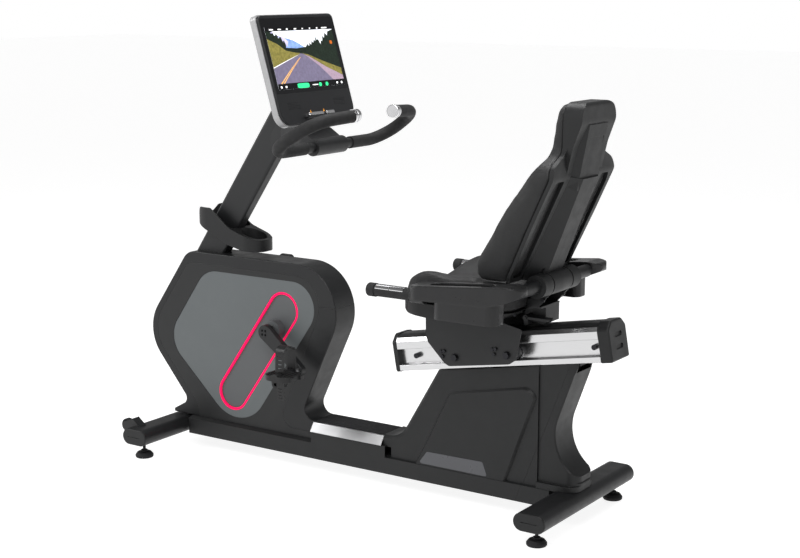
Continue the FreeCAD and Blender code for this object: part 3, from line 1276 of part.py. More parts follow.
NODES = {
    "main_frame": main_frame,
    "front_stabilizer": front_stabilizer,
    "rear_stabilizer": rear_stabilizer,
    "stabilizer_end_caps": stabilizer_end_caps,
    "foot_front_left": lambda: foot(FOOT_X[0], -1),
    "foot_front_right": lambda: foot(FOOT_X[0], 1),
    "foot_rear_left": lambda: foot(FOOT_X[1], -1),
    "foot_rear_right": lambda: foot(FOOT_X[1], 1),
    "transport_wheel_left": lambda: transport_wheel(-1),
    "transport_wheel_right": lambda: transport_wheel(1),
    "base_cover_left": lambda: base_cover(-1),
    "base_cover_right": lambda: base_cover(1),
    "pedestal_rear_cover": pedestal_rear_cover,
    "accent_windows": accent_windows,
    "step_trim": step_trim,
    "step_pad": step_pad,
    "shroud_band_upper": shroud_band_upper,
    "shroud_band_rear": shroud_band_rear,
    "side_cover_left": side_cover,
    "side_cover_right": lambda: mirrored(side_cover()),
    "side_panels": side_panels,
    "accent_rings": accent_rings,
    "crank_bearings": crank_bearings,
    "crank_spindle": crank_spindle,
    "crank_arms": lambda: Part.makeCompound([crank_arm(-1), crank_arm(1)]),
    "pedal_axles": pedal_axles,
    "pedal_left": lambda: pedal(-1),
    "pedal_right": lambda: pedal(1),
    "pedal_strap_left": lambda: pedal_strap(-1),
    "pedal_strap_right": lambda: pedal_strap(1),
    "drive_pulley": drive_pulley,
    "drive_belt": drive_belt,
    "flywheel": flywheel,
    "generator_stator": generator_stator,
    "mast": mast,
    "handlebar": handlebar,
    "handlebar_grips": handlebar_grips,
    "handlebar_end_caps": handlebar_end_caps,
    "console_bezel": console_bezel,
    "console_trim": console_trim,
    "console_back": console_back,
    "screen": screen,
    "bottle_holder": bottle_holder,
    "seat_rail": seat_rail,
    "rail_top_cover": rail_top_cover,
    "rail_end_caps": rail_end_caps,
    "rail_stop_bolts": rail_stop_bolts,
    "carriage_frame": carriage_frame,
    "carriage_bolts": carriage_bolts,
    "front_rollers": lambda: rollers(ROLLER_U[0]),
    "rear_rollers": lambda: rollers(ROLLER_U[1]),
    "release_lever": release_lever,
    "seat_pan": seat_pan,
    "seat_cushion": seat_cushion,
    "backrest_cushion": backrest_cushion,
    "backrest_shell": backrest_shell,
    "armrest_tube": armrest_tube,
    "armrests": lambda: both_sides(armrest()),
    "seat_grips": seat_grips,
    "pulse_sensors": pulse_sensors,
}

os.makedirs("parts", exist_ok=True)
for name, make in NODES.items():
    shape = make()
    shape.translate(vec(CENTRING_SHIFT, 0, 0))
    print(f"{name:24s} solids {len(shape.Solids):3d}  volume {shape.Volume / 1000:9.1f} cm3  "
          f"valid {shape.isValid()}  x {shape.BoundBox.XMin:.1f} {shape.BoundBox.XMax:.1f}")
    shape.exportStep(f"parts/{name}.step")
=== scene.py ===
"""Looks of a recumbent exercise bike: materials, padded seat, display picture, camera and studio light."""

import json
import math

import bmesh
import bpy
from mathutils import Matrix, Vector


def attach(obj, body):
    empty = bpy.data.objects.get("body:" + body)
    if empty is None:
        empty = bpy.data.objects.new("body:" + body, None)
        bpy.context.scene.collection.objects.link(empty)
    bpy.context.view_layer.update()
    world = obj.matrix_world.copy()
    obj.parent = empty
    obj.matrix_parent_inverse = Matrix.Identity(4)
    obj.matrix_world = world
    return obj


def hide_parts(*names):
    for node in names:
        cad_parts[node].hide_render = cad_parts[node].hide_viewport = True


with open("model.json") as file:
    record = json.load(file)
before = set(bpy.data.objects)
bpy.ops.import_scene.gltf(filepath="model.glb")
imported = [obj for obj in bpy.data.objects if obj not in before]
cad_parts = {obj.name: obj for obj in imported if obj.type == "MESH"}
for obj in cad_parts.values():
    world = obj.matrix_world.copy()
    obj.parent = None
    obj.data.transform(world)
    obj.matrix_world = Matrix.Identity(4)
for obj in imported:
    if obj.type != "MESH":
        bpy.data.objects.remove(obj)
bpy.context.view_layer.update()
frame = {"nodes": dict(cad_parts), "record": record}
nodes = frame["nodes"]

# Camera, in metres in the model's frame.
CAMERA_PLACE = (2.7492, -3.9311, 1.5736)
CAMERA_AIM = (-0.54633, 0.81593, -0.18916)
CAMERA_LENS = 69.85

# The display: lowest point of the glass, its lean from upright, and the picture's size.
GLASS_X, GLASS_Z = -0.2088, 1.230
GLASS_LEAN = math.radians(16.4)
PICTURE_HALF = 0.172
PICTURE_LOW, PICTURE_HIGH = 0.013, 0.209

# The small ledge under the display: its spans across, its lowest edge, and how far out it and its clips are.
LEDGE_SPANS = ((-0.060, 0.016), (0.030, 0.074))
LEDGE_BOTTOM, LEDGE_TALL = -0.074, 0.010
LEDGE_BACK, LEDGE_DEEP = 0.0012, 0.006
CLIP_ACROSS = (-0.0565, 0.012)
CLIP_BACK, CLIP_FRONT = 0.0076, 0.0090

# Cushions: remeshing size, stuffing pressure and the steps that it is let settle for.
CUSHION_VOXEL = 0.005
CUSHION_PRESSURE = 4.0
CUSHION_STEPS = 20

# Centres of the round ends of the recess on the housing's sides, and its radius.
RECESS_LOW = (-0.5208, 0.0, 0.215)
RECESS_TOP = (-0.3048, 0.0, 0.521)
RECESS_RADIUS = 0.056


# ---------------------------------------------------------------- materials

class Maker:
    """Builds one node material around a Principled shader."""

    def __init__(self, name):
        self.material = bpy.data.materials.new(name)
        self.material.use_nodes = True
        self.tree = self.material.node_tree
        self.shader = self.tree.nodes["Principled BSDF"]
        self.place = self.tree.nodes.new("ShaderNodeTexCoord").outputs["Object"]
        self.normal = None

    def node(self, kind, **values):
        made = self.tree.nodes.new(kind)
        for key, value in values.items():
            setattr(made, key, value)
        return made

    def link(self, source, target):
        self.tree.links.new(source, target)

    def noise(self, scale, detail=3.0, rough=0.55, stretch=None):
        """Noise over the model, stretched along an axis where a brushed look needs it."""
        texture = self.node("ShaderNodeTexNoise")
        texture.inputs["Scale"].default_value = scale
        texture.inputs["Detail"].default_value = detail
        texture.inputs["Roughness"].default_value = rough
        source = self.place
        if stretch:
            mapping = self.node("ShaderNodeMapping")
            mapping.inputs["Scale"].default_value = stretch
            self.link(self.place, mapping.inputs["Vector"])
            source = mapping.outputs["Vector"]
        self.link(source, texture.inputs["Vector"])
        return texture.outputs["Fac"]

    def cells(self, scale):
        texture = self.node("ShaderNodeTexVoronoi", feature="DISTANCE_TO_EDGE")
        texture.inputs["Scale"].default_value = scale
        self.link(self.place, texture.inputs["Vector"])
        return texture.outputs["Distance"]

    def remap(self, value, low, high, to_low, to_high):
        made = self.node("ShaderNodeMapRange")
        made.inputs["From Min"].default_value = low
        made.inputs["From Max"].default_value = high
        made.inputs["To Min"].default_value = to_low
        made.inputs["To Max"].default_value = to_high
        self.link(value, made.inputs["Value"])
        return made.outputs["Result"]

    def math(self, operation, first, second):
        made = self.node("ShaderNodeMath", operation=operation)
        for socket, value in zip(made.inputs, (first, second)):
            if isinstance(value, (int, float)):
                socket.default_value = value
            else:
                self.link(value, socket)
        return made.outputs["Value"]

    def mix(self, factor, first, second):
        made = self.node("ShaderNodeMix", data_type="RGBA")
        self.link(factor, made.inputs["Factor"])
        for socket, value in ((made.inputs["A"], first), (made.inputs["B"], second)):
            if isinstance(value, tuple):
                socket.default_value = (*value, 1.0)
            else:
                self.link(value, socket)
        return made.outputs["Result"]

    def bump(self, height, strength, distance):
        made = self.node("ShaderNodeBump")
        made.inputs["Strength"].default_value = strength
        made.inputs["Distance"].default_value = distance
        self.link(height, made.inputs["Height"])
        if self.normal is not None:
            self.link(self.normal, made.inputs["Normal"])
        self.normal = made.outputs["Normal"]

    def soft_edges(self, radius):
        made = self.node("ShaderNodeBevel")
        made.samples = 6
        made.inputs["Radius"].default_value = radius
        self.normal = made.outputs["Normal"]
        return made.outputs["Normal"]

    def edge_mask(self, rounded):
        """Near one on rounded edges, where the tone is lightened partly for wear and partly as a painted
        highlight; zero on flat faces.
        """
        flat = self.node("ShaderNodeNewGeometry").outputs["Normal"]
        dot = self.node("ShaderNodeVectorMath", operation="DOT_PRODUCT")
        self.link(flat, dot.inputs[0])
        self.link(rounded, dot.inputs[1])
        return self.remap(dot.outputs["Value"], 1.0, 0.80, 0.0, 1.0)

    def finish(self, metallic=0.0, coat=0.0, coat_rough=0.1, sheen=0.0, specular=0.5):
        self.shader.inputs["Metallic"].default_value = metallic
        self.shader.inputs["Coat Weight"].default_value = coat
        self.shader.inputs["Coat Roughness"].default_value = coat_rough
        self.shader.inputs["Sheen Weight"].default_value = sheen
        self.shader.inputs["Specular IOR Level"].default_value = specular
        if self.normal is not None:
            self.link(self.normal, self.shader.inputs["Normal"])
        return self.material


def shades(colour, spread):
    """A darker and a lighter tone of one colour."""
    return tuple(c * (1 - spread) for c in colour), tuple(min(1.0, c * (1 + spread)) for c in colour)


def moulded(name, colour, rough, grain=900.0, depth=0.12, edge=0.0012, specular=0.5, lift=1.5):
    """Textured moulded plastic: fine grain, slow tone changes, and softly rounded edges lightened partly as
    wear and partly as a painted highlight.
    """
    m = Maker(name)
    rounded = m.soft_edges(edge)
    dark, light = shades(colour, 0.10)
    tone = m.mix(m.noise(7.0, 4.0), dark, light)
    # Lighter edge tone: partly wear, partly a painted highlight along the rounded edges.
    wear_and_highlight_tone = tuple(min(1.0, c * lift) for c in colour)
    tone = m.mix(m.math("MULTIPLY", m.edge_mask(rounded), m.noise(160.0)), tone, wear_and_highlight_tone)
    m.link(tone, m.shader.inputs["Base Color"])
    m.link(m.remap(m.noise(26.0, 5.0), 0.3, 0.7, rough - 0.05, rough + 0.06), m.shader.inputs["Roughness"])
    m.bump(m.noise(grain, 2.0), depth, 0.0004)
    return m.finish(specular=specular)


def painted(name, colour, rough, peel=260.0, coat=0.0, edge=0.0008, specular=0.5):
    """Paint or powder coat with a faint orange peel."""
    m = Maker(name)
    rounded = m.soft_edges(edge)
    dark, light = shades(colour, 0.07)
    tone = m.mix(m.noise(11.0, 4.0), dark, light)
    # Lighter edge tone: partly wear, partly a painted highlight along the rounded edges.
    wear_and_highlight_tone = tuple(min(1.0, c * 1.6 + 0.004) for c in colour)
    tone = m.mix(m.math("MULTIPLY", m.edge_mask(rounded), m.noise(220.0)), tone, wear_and_highlight_tone)
    m.link(tone, m.shader.inputs["Base Color"])
    m.link(m.remap(m.noise(34.0, 4.0), 0.3, 0.7, rough - 0.04, rough + 0.05), m.shader.inputs["Roughness"])
    m.bump(m.noise(peel, 2.0), 0.10, 0.0005)
    return m.finish(coat=coat, coat_rough=0.12, specular=specular)


def brushed(name, colour, rough, stretch, lines=700.0):
    """Drawn or brushed metal with fine lines along its length."""
    m = Maker(name)
    m.soft_edges(0.0007)
    streaks = m.noise(lines, 3.0, 0.6, stretch)
    dark, light = shades(colour, 0.10)
    m.link(m.mix(streaks, dark, light), m.shader.inputs["Base Color"])
    smudge = m.remap(m.noise(16.0, 5.0), 0.3, 0.7, -0.04, 0.06)
    m.link(m.math("ADD", m.remap(streaks, 0.2, 0.8, rough - 0.06, rough + 0.08), smudge),
           m.shader.inputs["Roughness"])
    m.bump(streaks, 0.012, 0.0002)
    return m.finish(metallic=1.0)


def rubber(name, colour, rough=0.7, pits=520.0):
    m = Maker(name)
    m.soft_edges(0.0012)
    dark, light = shades(colour, 0.16)
    m.link(m.mix(m.noise(18.0, 5.0), dark, light), m.shader.inputs["Base Color"])
    m.link(m.remap(m.noise(60.0), 0.3, 0.7, rough - 0.08, rough + 0.08), m.shader.inputs["Roughness"])
    m.bump(m.noise(pits, 4.0, 0.65), 0.25, 0.0006)
    return m.finish(specular=0.28)


def leathery(name, colour, rough, edge=None, grain=0.35):
    """Grained skin of moulded polyurethane foam."""
    m = Maker(name)
    if edge:
        m.soft_edges(edge)
    dark, light = shades(colour, 0.20)
    m.link(m.mix(m.noise(9.0, 5.0), dark, light), m.shader.inputs["Base Color"])
    m.link(m.remap(m.noise(40.0, 5.0), 0.3, 0.7, rough - 0.07, rough + 0.09), m.shader.inputs["Roughness"])
    m.bump(m.noise(14.0, 3.0), 0.25, 0.004)
    m.bump(m.remap(m.cells(430.0), 0.0, 0.25, 0.0, 1.0), grain, 0.0006)
    m.bump(m.noise(1500.0, 2.0), grain * 0.4, 0.0003)
    return m.finish(sheen=0.01, specular=0.32)


def drawn_rail(name, colour):
    """Bright anodised extrusion: even, satin, with faint lines along it."""
    m = Maker(name)
    lines = m.noise(260.0, 2.0, 0.5, (0.004, 1.0, 1.0))
    m.link(m.mix(lines, *shades(colour, 0.05)), m.shader.inputs["Base Color"])
    m.link(m.remap(lines, 0.2, 0.8, 0.20, 0.27), m.shader.inputs["Roughness"])
    m.bump(lines, 0.006, 0.0002)
    return m.finish(metallic=1.0)


def ribbed_chrome(name, colour):
    """Bright plated cap with fine rings."""
    m = Maker(name)
    m.soft_edges(0.0006)
    m.link(m.mix(m.noise(30.0, 4.0), *shades(colour, 0.06)), m.shader.inputs["Base Color"])
    m.link(m.remap(m.noise(24.0, 4.0), 0.3, 0.7, 0.08, 0.17), m.shader.inputs["Roughness"])
    m.bump(m.noise(900.0, 2.0), 0.03, 0.0003)
    return m.finish(metallic=1.0)


def bright_paint(name, colour, rough):
    """Vivid paint with a painted glow: it gives off a little light of its own, though it is no lamp."""
    m = Maker(name)
    m.soft_edges(0.0006)
    tone = m.mix(m.noise(60.0, 4.0), *shades(colour, 0.05))
    m.link(tone, m.shader.inputs["Base Color"])
    # Painted glow: the paint's own tone is also given off as light.
    m.link(tone, m.shader.inputs["Emission Color"])
    m.shader.inputs["Emission Strength"].default_value = 0.26
    m.link(m.remap(m.noise(34.0, 4.0), 0.3, 0.7, rough - 0.04, rough + 0.05), m.shader.inputs["Roughness"])
    m.bump(m.noise(500.0, 2.0), 0.06, 0.0003)
    return m.finish(specular=0.1)


def recessed_cover():
    """Charcoal side cover whose long recess, inside the pink bezel, is painted like the trim sheet."""
    m = Maker("side_cover_with_painted_recess")
    m.soft_edges(0.0012)
    low, top = Vector(RECESS_LOW), Vector(RECESS_TOP)
    along = (top - low).normalized()
    from_low = m.node("ShaderNodeVectorMath", operation="SUBTRACT")
    m.link(m.place, from_low.inputs[0])
    from_low.inputs[1].default_value = low
    flat = m.node("ShaderNodeVectorMath", operation="MULTIPLY")
    m.link(from_low.outputs["Vector"], flat.inputs[0])
    flat.inputs[1].default_value = (1, 0, 1)
    run = m.node("ShaderNodeVectorMath", operation="DOT_PRODUCT")
    m.link(flat.outputs["Vector"], run.inputs[0])
    run.inputs[1].default_value = along
    held = m.math("MINIMUM", m.math("MAXIMUM", run.outputs["Value"], 0.0), (top - low).length)
    foot = m.node("ShaderNodeVectorMath", operation="SCALE")
    foot.inputs[0].default_value = along
    m.link(held, foot.inputs["Scale"])
    gap = m.node("ShaderNodeVectorMath", operation="DISTANCE")
    m.link(flat.outputs["Vector"], gap.inputs[0])
    m.link(foot.outputs["Vector"], gap.inputs[1])
    inside = m.remap(gap.outputs["Value"], RECESS_RADIUS, RECESS_RADIUS - 0.0002, 0.0, 1.0)
    grey = m.mix(m.noise(11.0, 4.0), *shades((0.076, 0.080, 0.083), 0.06))
    black = m.mix(m.noise(7.0, 4.0), *shades((0.0105, 0.0108, 0.0112), 0.10))
    m.link(m.mix(inside, black, grey), m.shader.inputs["Base Color"])
    m.link(m.remap(m.noise(26.0, 5.0), 0.3, 0.7, 0.40, 0.50), m.shader.inputs["Roughness"])
    m.bump(m.noise(700.0, 2.0), 0.08, 0.0004)
    return m.finish(specular=0.30)


def lit(name, colour, strength, spread=0.12, scale=40.0):
    """A patch of the display's picture, glowing a little, with a mottled tone."""
    m = Maker(name)
    dark, light = shades(colour, spread)
    tone = m.mix(m.remap(m.noise(scale, 6.0, 0.7), 0.32, 0.68, 0.0, 1.0), dark, light)
    m.link(tone, m.shader.inputs["Base Color"])
    m.link(tone, m.shader.inputs["Emission Color"])
    m.shader.inputs["Emission Strength"].default_value = strength
    m.shader.inputs["Roughness"].default_value = 0.22
    return m.finish(specular=0.3)


MATERIALS = {
    "frame_black": painted("frame_powder_coat", (0.0105, 0.0108, 0.0115), 0.42, specular=0.30),
    "cover_black": moulded("charcoal_moulding", (0.0105, 0.0108, 0.0112), 0.46, specular=0.26),
    "band_black": moulded("satin_band_moulding", (0.0095, 0.0098, 0.0104), 0.40, grain=1300.0, depth=0.05,
                          edge=0.0025, specular=0.28),
    "panel_grey": painted("grey_trim_sheet", (0.082, 0.091, 0.094), 0.45, peel=520.0, specular=0.4),
    "ring_pink": bright_paint("hot_pink_bezel", (1.0, 0.004, 0.095), 0.45),
    "window_grey": painted("smoked_inlay", (0.040, 0.041, 0.047), 0.30, coat=0.3),
    "rubber_black": rubber("ribbed_rubber", (0.009, 0.009, 0.010)),
    "tread_metal": brushed("brushed_step_trim", (0.34, 0.34, 0.345), 0.36, (0.02, 1.0, 1.0)),
    "rail_metal": drawn_rail("drawn_rail", (0.55, 0.55, 0.555)),
    "bolt_steel": brushed("black_oxide", (0.030, 0.030, 0.033), 0.36, None, 300.0),
    "bearing_steel": brushed("ground_steel", (0.45, 0.45, 0.46), 0.28, (1.0, 0.05, 1.0)),
    "wheel_iron": brushed("machined_iron", (0.22, 0.22, 0.23), 0.45, None, 240.0),
    "belt_rubber": rubber("belt_rubber", (0.02, 0.02, 0.02)),
    "pulley_plastic": moulded("pulley_nylon", (0.03, 0.03, 0.032), 0.5),
    "coil_metal": brushed("wound_stator", (0.40, 0.33, 0.28), 0.42, (1.0, 0.1, 1.0), 420.0),
    "grip_foam": rubber("foam_grip", (0.0115, 0.0115, 0.0120), 0.70, 800.0),
    "chrome_trim": ribbed_chrome("bright_chrome", (0.66, 0.66, 0.67)),
    "bezel_black": painted("dark_bezel", (0.0095, 0.0098, 0.0110), 0.34, peel=600.0, coat=0.1, specular=0.3),
    "console_silver": painted("silver_console_edge", (0.30, 0.30, 0.305), 0.27, coat=0.3),
    "screen_glass": painted("display_glass", (0.003, 0.003, 0.004), 0.12, peel=90.0, coat=0.3, specular=0.3),
    "pedal_black": moulded("pedal_nylon", (0.0085, 0.0085, 0.0090), 0.46, grain=700.0, specular=0.3),
    "strap_black": rubber("strap_rubber", (0.0095, 0.0095, 0.010), 0.34, 900.0),
    "roller_nylon": moulded("roller_nylon", (0.04, 0.04, 0.043), 0.4),
    "cushion_black": leathery("grained_foam_skin", (0.0095, 0.0095, 0.0100), 0.50),
    "arm_black": leathery("smooth_foam_skin", (0.0100, 0.0100, 0.0105), 0.34, edge=0.007, grain=0.08),
}

for part in frame["record"]["subparts"]:
    mesh_object = nodes[part["node"]]
    mesh_object.data.materials.clear()
    mesh_object.data.materials.append(MATERIALS[part["material_slot"]])
for side in ("left", "right"):
    nodes["side_cover_" + side].data.materials[0] = recessed_cover()


# ---------------------------------------------------------------- padded seat

def shown(obj, material, body):
    """Adds a new piece to the scene, riding on a CAD body."""
    if obj.name not in bpy.context.scene.collection.all_objects:
        bpy.context.scene.collection.objects.link(obj)
    obj.data.materials.clear()
    obj.data.materials.append(material)
    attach(obj, body)
    return obj


def applied(obj, modifier):
    """Applies one modifier by taking the evaluated mesh."""
    graph = bpy.context.evaluated_depsgraph_get()
    mesh = bpy.data.meshes.new_from_object(obj.evaluated_get(graph))
    obj.modifiers.remove(modifier)
    obj.data = mesh


def stuffed(node, name, cap, shrink):
    """Blows the CAD solid's skin up from inside, by cap at most, so that it crowns like foam."""
    obj = bpy.data.objects.new(name, nodes[node].data.copy())
    bpy.context.scene.collection.objects.link(obj)
    work = bmesh.new()
    work.from_mesh(obj.data)
    bmesh.ops.remove_doubles(work, verts=work.verts, dist=0.00005)
    work.to_mesh(obj.data)
    work.free()
    remesh = obj.modifiers.new("remesh", "REMESH")
    remesh.mode = "VOXEL"
    remesh.voxel_size = CUSHION_VOXEL
    remesh.use_smooth_shade = True
    applied(obj, remesh)
    for vertex, normal in [(v, v.normal.copy()) for v in obj.data.vertices]:
        vertex.co -= normal * shrink
    obj.data.update()
    rest = [v.co.copy() for v in obj.data.vertices]
    cloth = obj.modifiers.new("foam", "CLOTH")
    cloth.settings.quality = 4
    cloth.settings.mass = 0.4
    cloth.settings.tension_stiffness = 8
    cloth.settings.bending_stiffness = 6.0
    cloth.settings.use_pressure = True
    cloth.settings.uniform_pressure_force = CUSHION_PRESSURE
    cloth.settings.effector_weights.gravity = 0.0
    for step in range(1, CUSHION_STEPS + 1):
        bpy.context.scene.frame_set(step)
    applied(obj, cloth)
    bpy.context.scene.frame_set(1)
    for vertex, start in zip(obj.data.vertices, rest):
        move = vertex.co - start
        if move.length > cap:
            vertex.co = start + move * (cap / move.length)
    smooth = obj.modifiers.new("smooth", "SMOOTH")
    smooth.factor = 0.5
    smooth.iterations = 24
    applied(obj, smooth)
    finer = obj.modifiers.new("finer", "SUBSURF")
    finer.levels = 1
    applied(obj, finer)
    obj.data.polygons.foreach_set("use_smooth", [True] * len(obj.data.polygons))
    return obj


seat = stuffed("seat_cushion", "seat_padding", cap=0.003, shrink=0.002)
back = stuffed("backrest_cushion", "backrest_padding", cap=0.002, shrink=0.001)
for cushion, replaced in ((seat, "seat_cushion"), (back, "backrest_cushion")):
    shown(cushion, MATERIALS["cushion_black"], "seat")
    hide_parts(replaced)


# ---------------------------------------------------------------- display picture

def on_glass(across, up, out):
    """A point on the leaning glass: metres across, up and out of it."""
    x = GLASS_X + out * math.cos(GLASS_LEAN) - up * math.sin(GLASS_LEAN)
    z = GLASS_Z + out * math.sin(GLASS_LEAN) + up * math.cos(GLASS_LEAN)
    return Vector((x, across, z))


def picture_point(u, v, layer):
    """u and v run from 0 to 1 over the picture, from its lower left corner."""
    across = -PICTURE_HALF + 2 * PICTURE_HALF * u
    up = PICTURE_LOW + (PICTURE_HIGH - PICTURE_LOW) * v
    return on_glass(across, up, -0.00042 + 0.00004 * layer)


def oval(u, v, wide, high, sides=20):
    return [(u + wide * math.cos(2 * math.pi * i / sides), v + high * math.sin(2 * math.pi * i / sides))
            for i in range(sides)]


def rounded_bar(u, v, wide, high, sides=20):
    """Outline of a bar whose corners are well rounded."""
    points = []
    for i in range(sides):
        turn = 2 * math.pi * i / sides
        across, up = math.cos(turn), math.sin(turn)
        points.append((u + wide * math.copysign(abs(across) ** 0.45, across),
                       v + high * math.copysign(abs(up) ** 0.45, up)))
    return points


SCREEN_TONES = {
    "sky": lit("picture_sky", (0.84, 0.87, 0.92), 0.75, 0.05, 18.0),
    "mountain": lit("picture_mountain", (0.17, 0.27, 0.55), 0.55, 0.35, 60.0),
    "snow": lit("picture_snow", (0.45, 0.42, 0.62), 0.6, 0.25, 60.0),
    "forest": lit("picture_forest", (0.008, 0.014, 0.009), 0.6, 0.7, 160.0),
    "slope": lit("picture_slope", (0.16, 0.14, 0.035), 0.6, 0.45, 110.0),
    "road": lit("picture_road", (0.13, 0.115, 0.175), 0.6, 0.16, 90.0),
    "gravel": lit("picture_gravel", (0.30, 0.22, 0.28), 0.6, 0.20, 160.0),
    "pale": lit("picture_pale", (0.80, 0.80, 0.80), 0.6, 0.05, 60.0),
    "yellow": lit("picture_yellow", (0.80, 0.42, 0.10), 0.6, 0.12, 60.0),
    "dark": lit("picture_bar", (0.002, 0.002, 0.003), 0.2, 0.2, 60.0),
    "green": lit("picture_green", (0.03, 0.62, 0.22), 0.7, 0.06, 60.0),
    "orange": lit("picture_orange", (0.45, 0.10, 0.01), 0.6, 0.10, 60.0),
}
PICTURE = [
    ("sky", 0, [(0, 0), (1, 0), (1, 1), (0, 1)]),
    ("mountain", 1, [(0.16, 0.86), (0.25, 0.83), (0.36, 0.785), (0.44, 0.73), (0.53, 0.65), (0.50, 0.60),
                     (0.26, 0.62)]),
    ("snow", 2, [(0.16, 0.87), (0.25, 0.835), (0.30, 0.76), (0.27, 0.68), (0.24, 0.70)]),
    ("forest", 3, [(0.24, 0.665), (0.32, 0.655), (0.40, 0.645), (0.47, 0.655), (0.53, 0.66), (0.56, 0.58),
                   (0.46, 0.545), (0.34, 0.57), (0.22, 0.61)]),
    ("forest", 4, [(0, 0.80), (0.13, 0.71), (0.23, 0.60), (0.255, 0.70), (0.24, 0.79), (0.22, 0.76),
                   (0.20, 0.85), (0.17, 0.82), (0.15, 0.90), (0.12, 0.86), (0.10, 0.93), (0, 0.96)]),
    ("slope", 5, [(0, 0.82), (0.13, 0.73), (0.23, 0.62), (0.33, 0.585), (0.43, 0.565), (0.42, 0.53),
                  (0, 0.36)]),
    ("forest", 5, [(0.46, 0.55), (0.53, 0.65), (0.57, 0.71), (0.59, 0.67), (0.61, 0.74), (0.625, 0.69),
                   (0.645, 0.76), (0.665, 0.72), (0.685, 0.79), (0.70, 0.74), (0.715, 0.84), (0.73, 0.76),
                   (0.75, 0.79), (0.77, 0.69), (0.79, 0.76), (0.81, 0.74), (0.825, 0.84), (0.845, 0.79),
                   (0.87, 0.88), (0.90, 0.83), (0.92, 0.90), (1, 0.93), (1, 0.27), (0.72, 0.42),
                   (0.55, 0.52)]),
    ("slope", 6, [(0.46, 0.56), (0.55, 0.535), (0.72, 0.43), (1, 0.28), (1, 0.14), (0.75, 0.32),
                  (0.55, 0.49)]),
    ("gravel", 7, [(0.47, 0.55), (0.56, 0.50), (0.77, 0.32), (1, 0.16), (1, 0.05), (0.85, 0.05),
                   (0.66, 0.33), (0.54, 0.48)]),
    ("road", 8, [(0, 0.05), (0.87, 0.05), (0.68, 0.334), (0.55, 0.48), (0.48, 0.55), (0.43, 0.56),
                 (0.40, 0.53), (0, 0.365)]),
    ("pale", 9, [(0, 0.36), (0.22, 0.462), (0.41, 0.545), (0.40, 0.538), (0.22, 0.452), (0, 0.345)]),
    ("yellow", 9, [(0.012, 0.05), (0.030, 0.05), (0.226, 0.285), (0.42, 0.50), (0.415, 0.50),
                   (0.214, 0.285)]),
    ("yellow", 9, [(0.052, 0.05), (0.068, 0.05), (0.248, 0.285), (0.426, 0.50), (0.423, 0.50),
                   (0.237, 0.285)]),
    ("dark", 10, [(0, 0), (1, 0), (1, 0.095), (0, 0.095)]),
    ("dark", 10, [(0, 0.935), (1, 0.935), (1, 1), (0, 1)]),
    ("green", 11, rounded_bar(0.367, 0.040, 0.088, 0.040)),
    ("green", 11, oval(0.622, 0.036, 0.022, 0.034)),
    ("green", 11, oval(0.722, 0.036, 0.022, 0.034)),
    ("orange", 11, rounded_bar(0.936, 0.716, 0.018, 0.028)),
    ("pale", 11, rounded_bar(0.545, 0.038, 0.045, 0.008)),
] + [("pale", 11, oval(u, 0.040, 0.014, 0.020, 10)) for u in (0.045, 0.115, 0.885, 0.955)] + [
    ("pale", 11, rounded_bar(u, 0.962, wide, 0.011))
    for u, wide in ((0.09, 0.030), (0.21, 0.024), (0.32, 0.014), (0.44, 0.020), (0.55, 0.010),
                    (0.66, 0.010), (0.77, 0.012), (0.88, 0.044))
] + [
    ("snow", 11, rounded_bar(u, 0.915, 0.030, 0.009))
    for u in (0.10, 0.21, 0.32, 0.43, 0.55, 0.66, 0.77, 0.89)
]


def display_picture():
    mesh = bpy.data.meshes.new("display_picture")
    points, faces, tones = [], [], []
    names = list(SCREEN_TONES)
    for tone, layer, outline in PICTURE:
        start = len(points)
        points += [picture_point(u, v, layer) for u, v in outline]
        faces.append(list(range(start, len(points))))
        tones.append(names.index(tone))
    mesh.from_pydata(points, [], faces)
    for name in names:
        mesh.materials.append(SCREEN_TONES[name])
    mesh.polygons.foreach_set("material_index", tones)
    obj = bpy.data.objects.new("display_picture", mesh)
    bpy.context.scene.collection.objects.link(obj)
    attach(obj, "base")
    return obj


display_picture()


# ---------------------------------------------------------------- pieces built from faces

def made_piece(work, name, material):
    """Closes the bmesh work and shows it as a piece of the base."""
    mesh = bpy.data.meshes.new(name)
    work.to_mesh(mesh)
    work.free()
    return shown(bpy.data.objects.new(name, mesh), material, "base")


def prism(work, back_corners, front_corners):
    """Solid between two outlines with the same number of corners."""
    back = [work.verts.new(p) for p in back_corners]
    front = [work.verts.new(p) for p in front_corners]
    work.faces.new(front)
    for i in range(len(back)):
        following = (i + 1) % len(back)
        work.faces.new((back[i], back[following], front[following], front[i]))
    work.faces.new(list(reversed(back)))


# ---------------------------------------------------------------- pink bezels

def recess_loop(radius, y, steps=24):
    """Points round the recess at one distance from its centre line."""
    low, top = Vector(RECESS_LOW), Vector(RECESS_TOP)
    along = (top - low).normalized()
    across = Vector((along.z, 0, -along.x))
    points = []
    for centre, sign in ((top, 1), (low, -1)):
        for i in range(steps + 1):
            turn = math.pi * i / steps
            points.append(centre + sign * radius * (across * math.cos(turn) + along * math.sin(turn))
                          + Vector((0, y, 0)))
    return points


def bezel_rings():
    """Flat-faced bezel round each recess, softly rounded at its edges."""
    section = ((0.0608, 0.0512), (0.0606, 0.0517), (0.0600, 0.0519), (0.0545, 0.0519), (0.0534, 0.0516),
               (0.0530, 0.0508), (0.0530, 0.0466), (0.0608, 0.0466))
    work = bmesh.new()
    for side in (-1, 1):
        loops = [[work.verts.new(p) for p in recess_loop(radius, side * y)] for radius, y in section]
        count = len(loops[0])
        for first, second in zip(loops, loops[1:] + loops[:1]):
            for i in range(count):
                work.faces.new((first[i], first[(i + 1) % count], second[(i + 1) % count], second[i]))
    bmesh.ops.recalc_face_normals(work, faces=work.faces)
    rings = made_piece(work, "bezel_rings", MATERIALS["ring_pink"])
    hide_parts("accent_rings")


bezel_rings()


# ---------------------------------------------------------------- small parts of the console

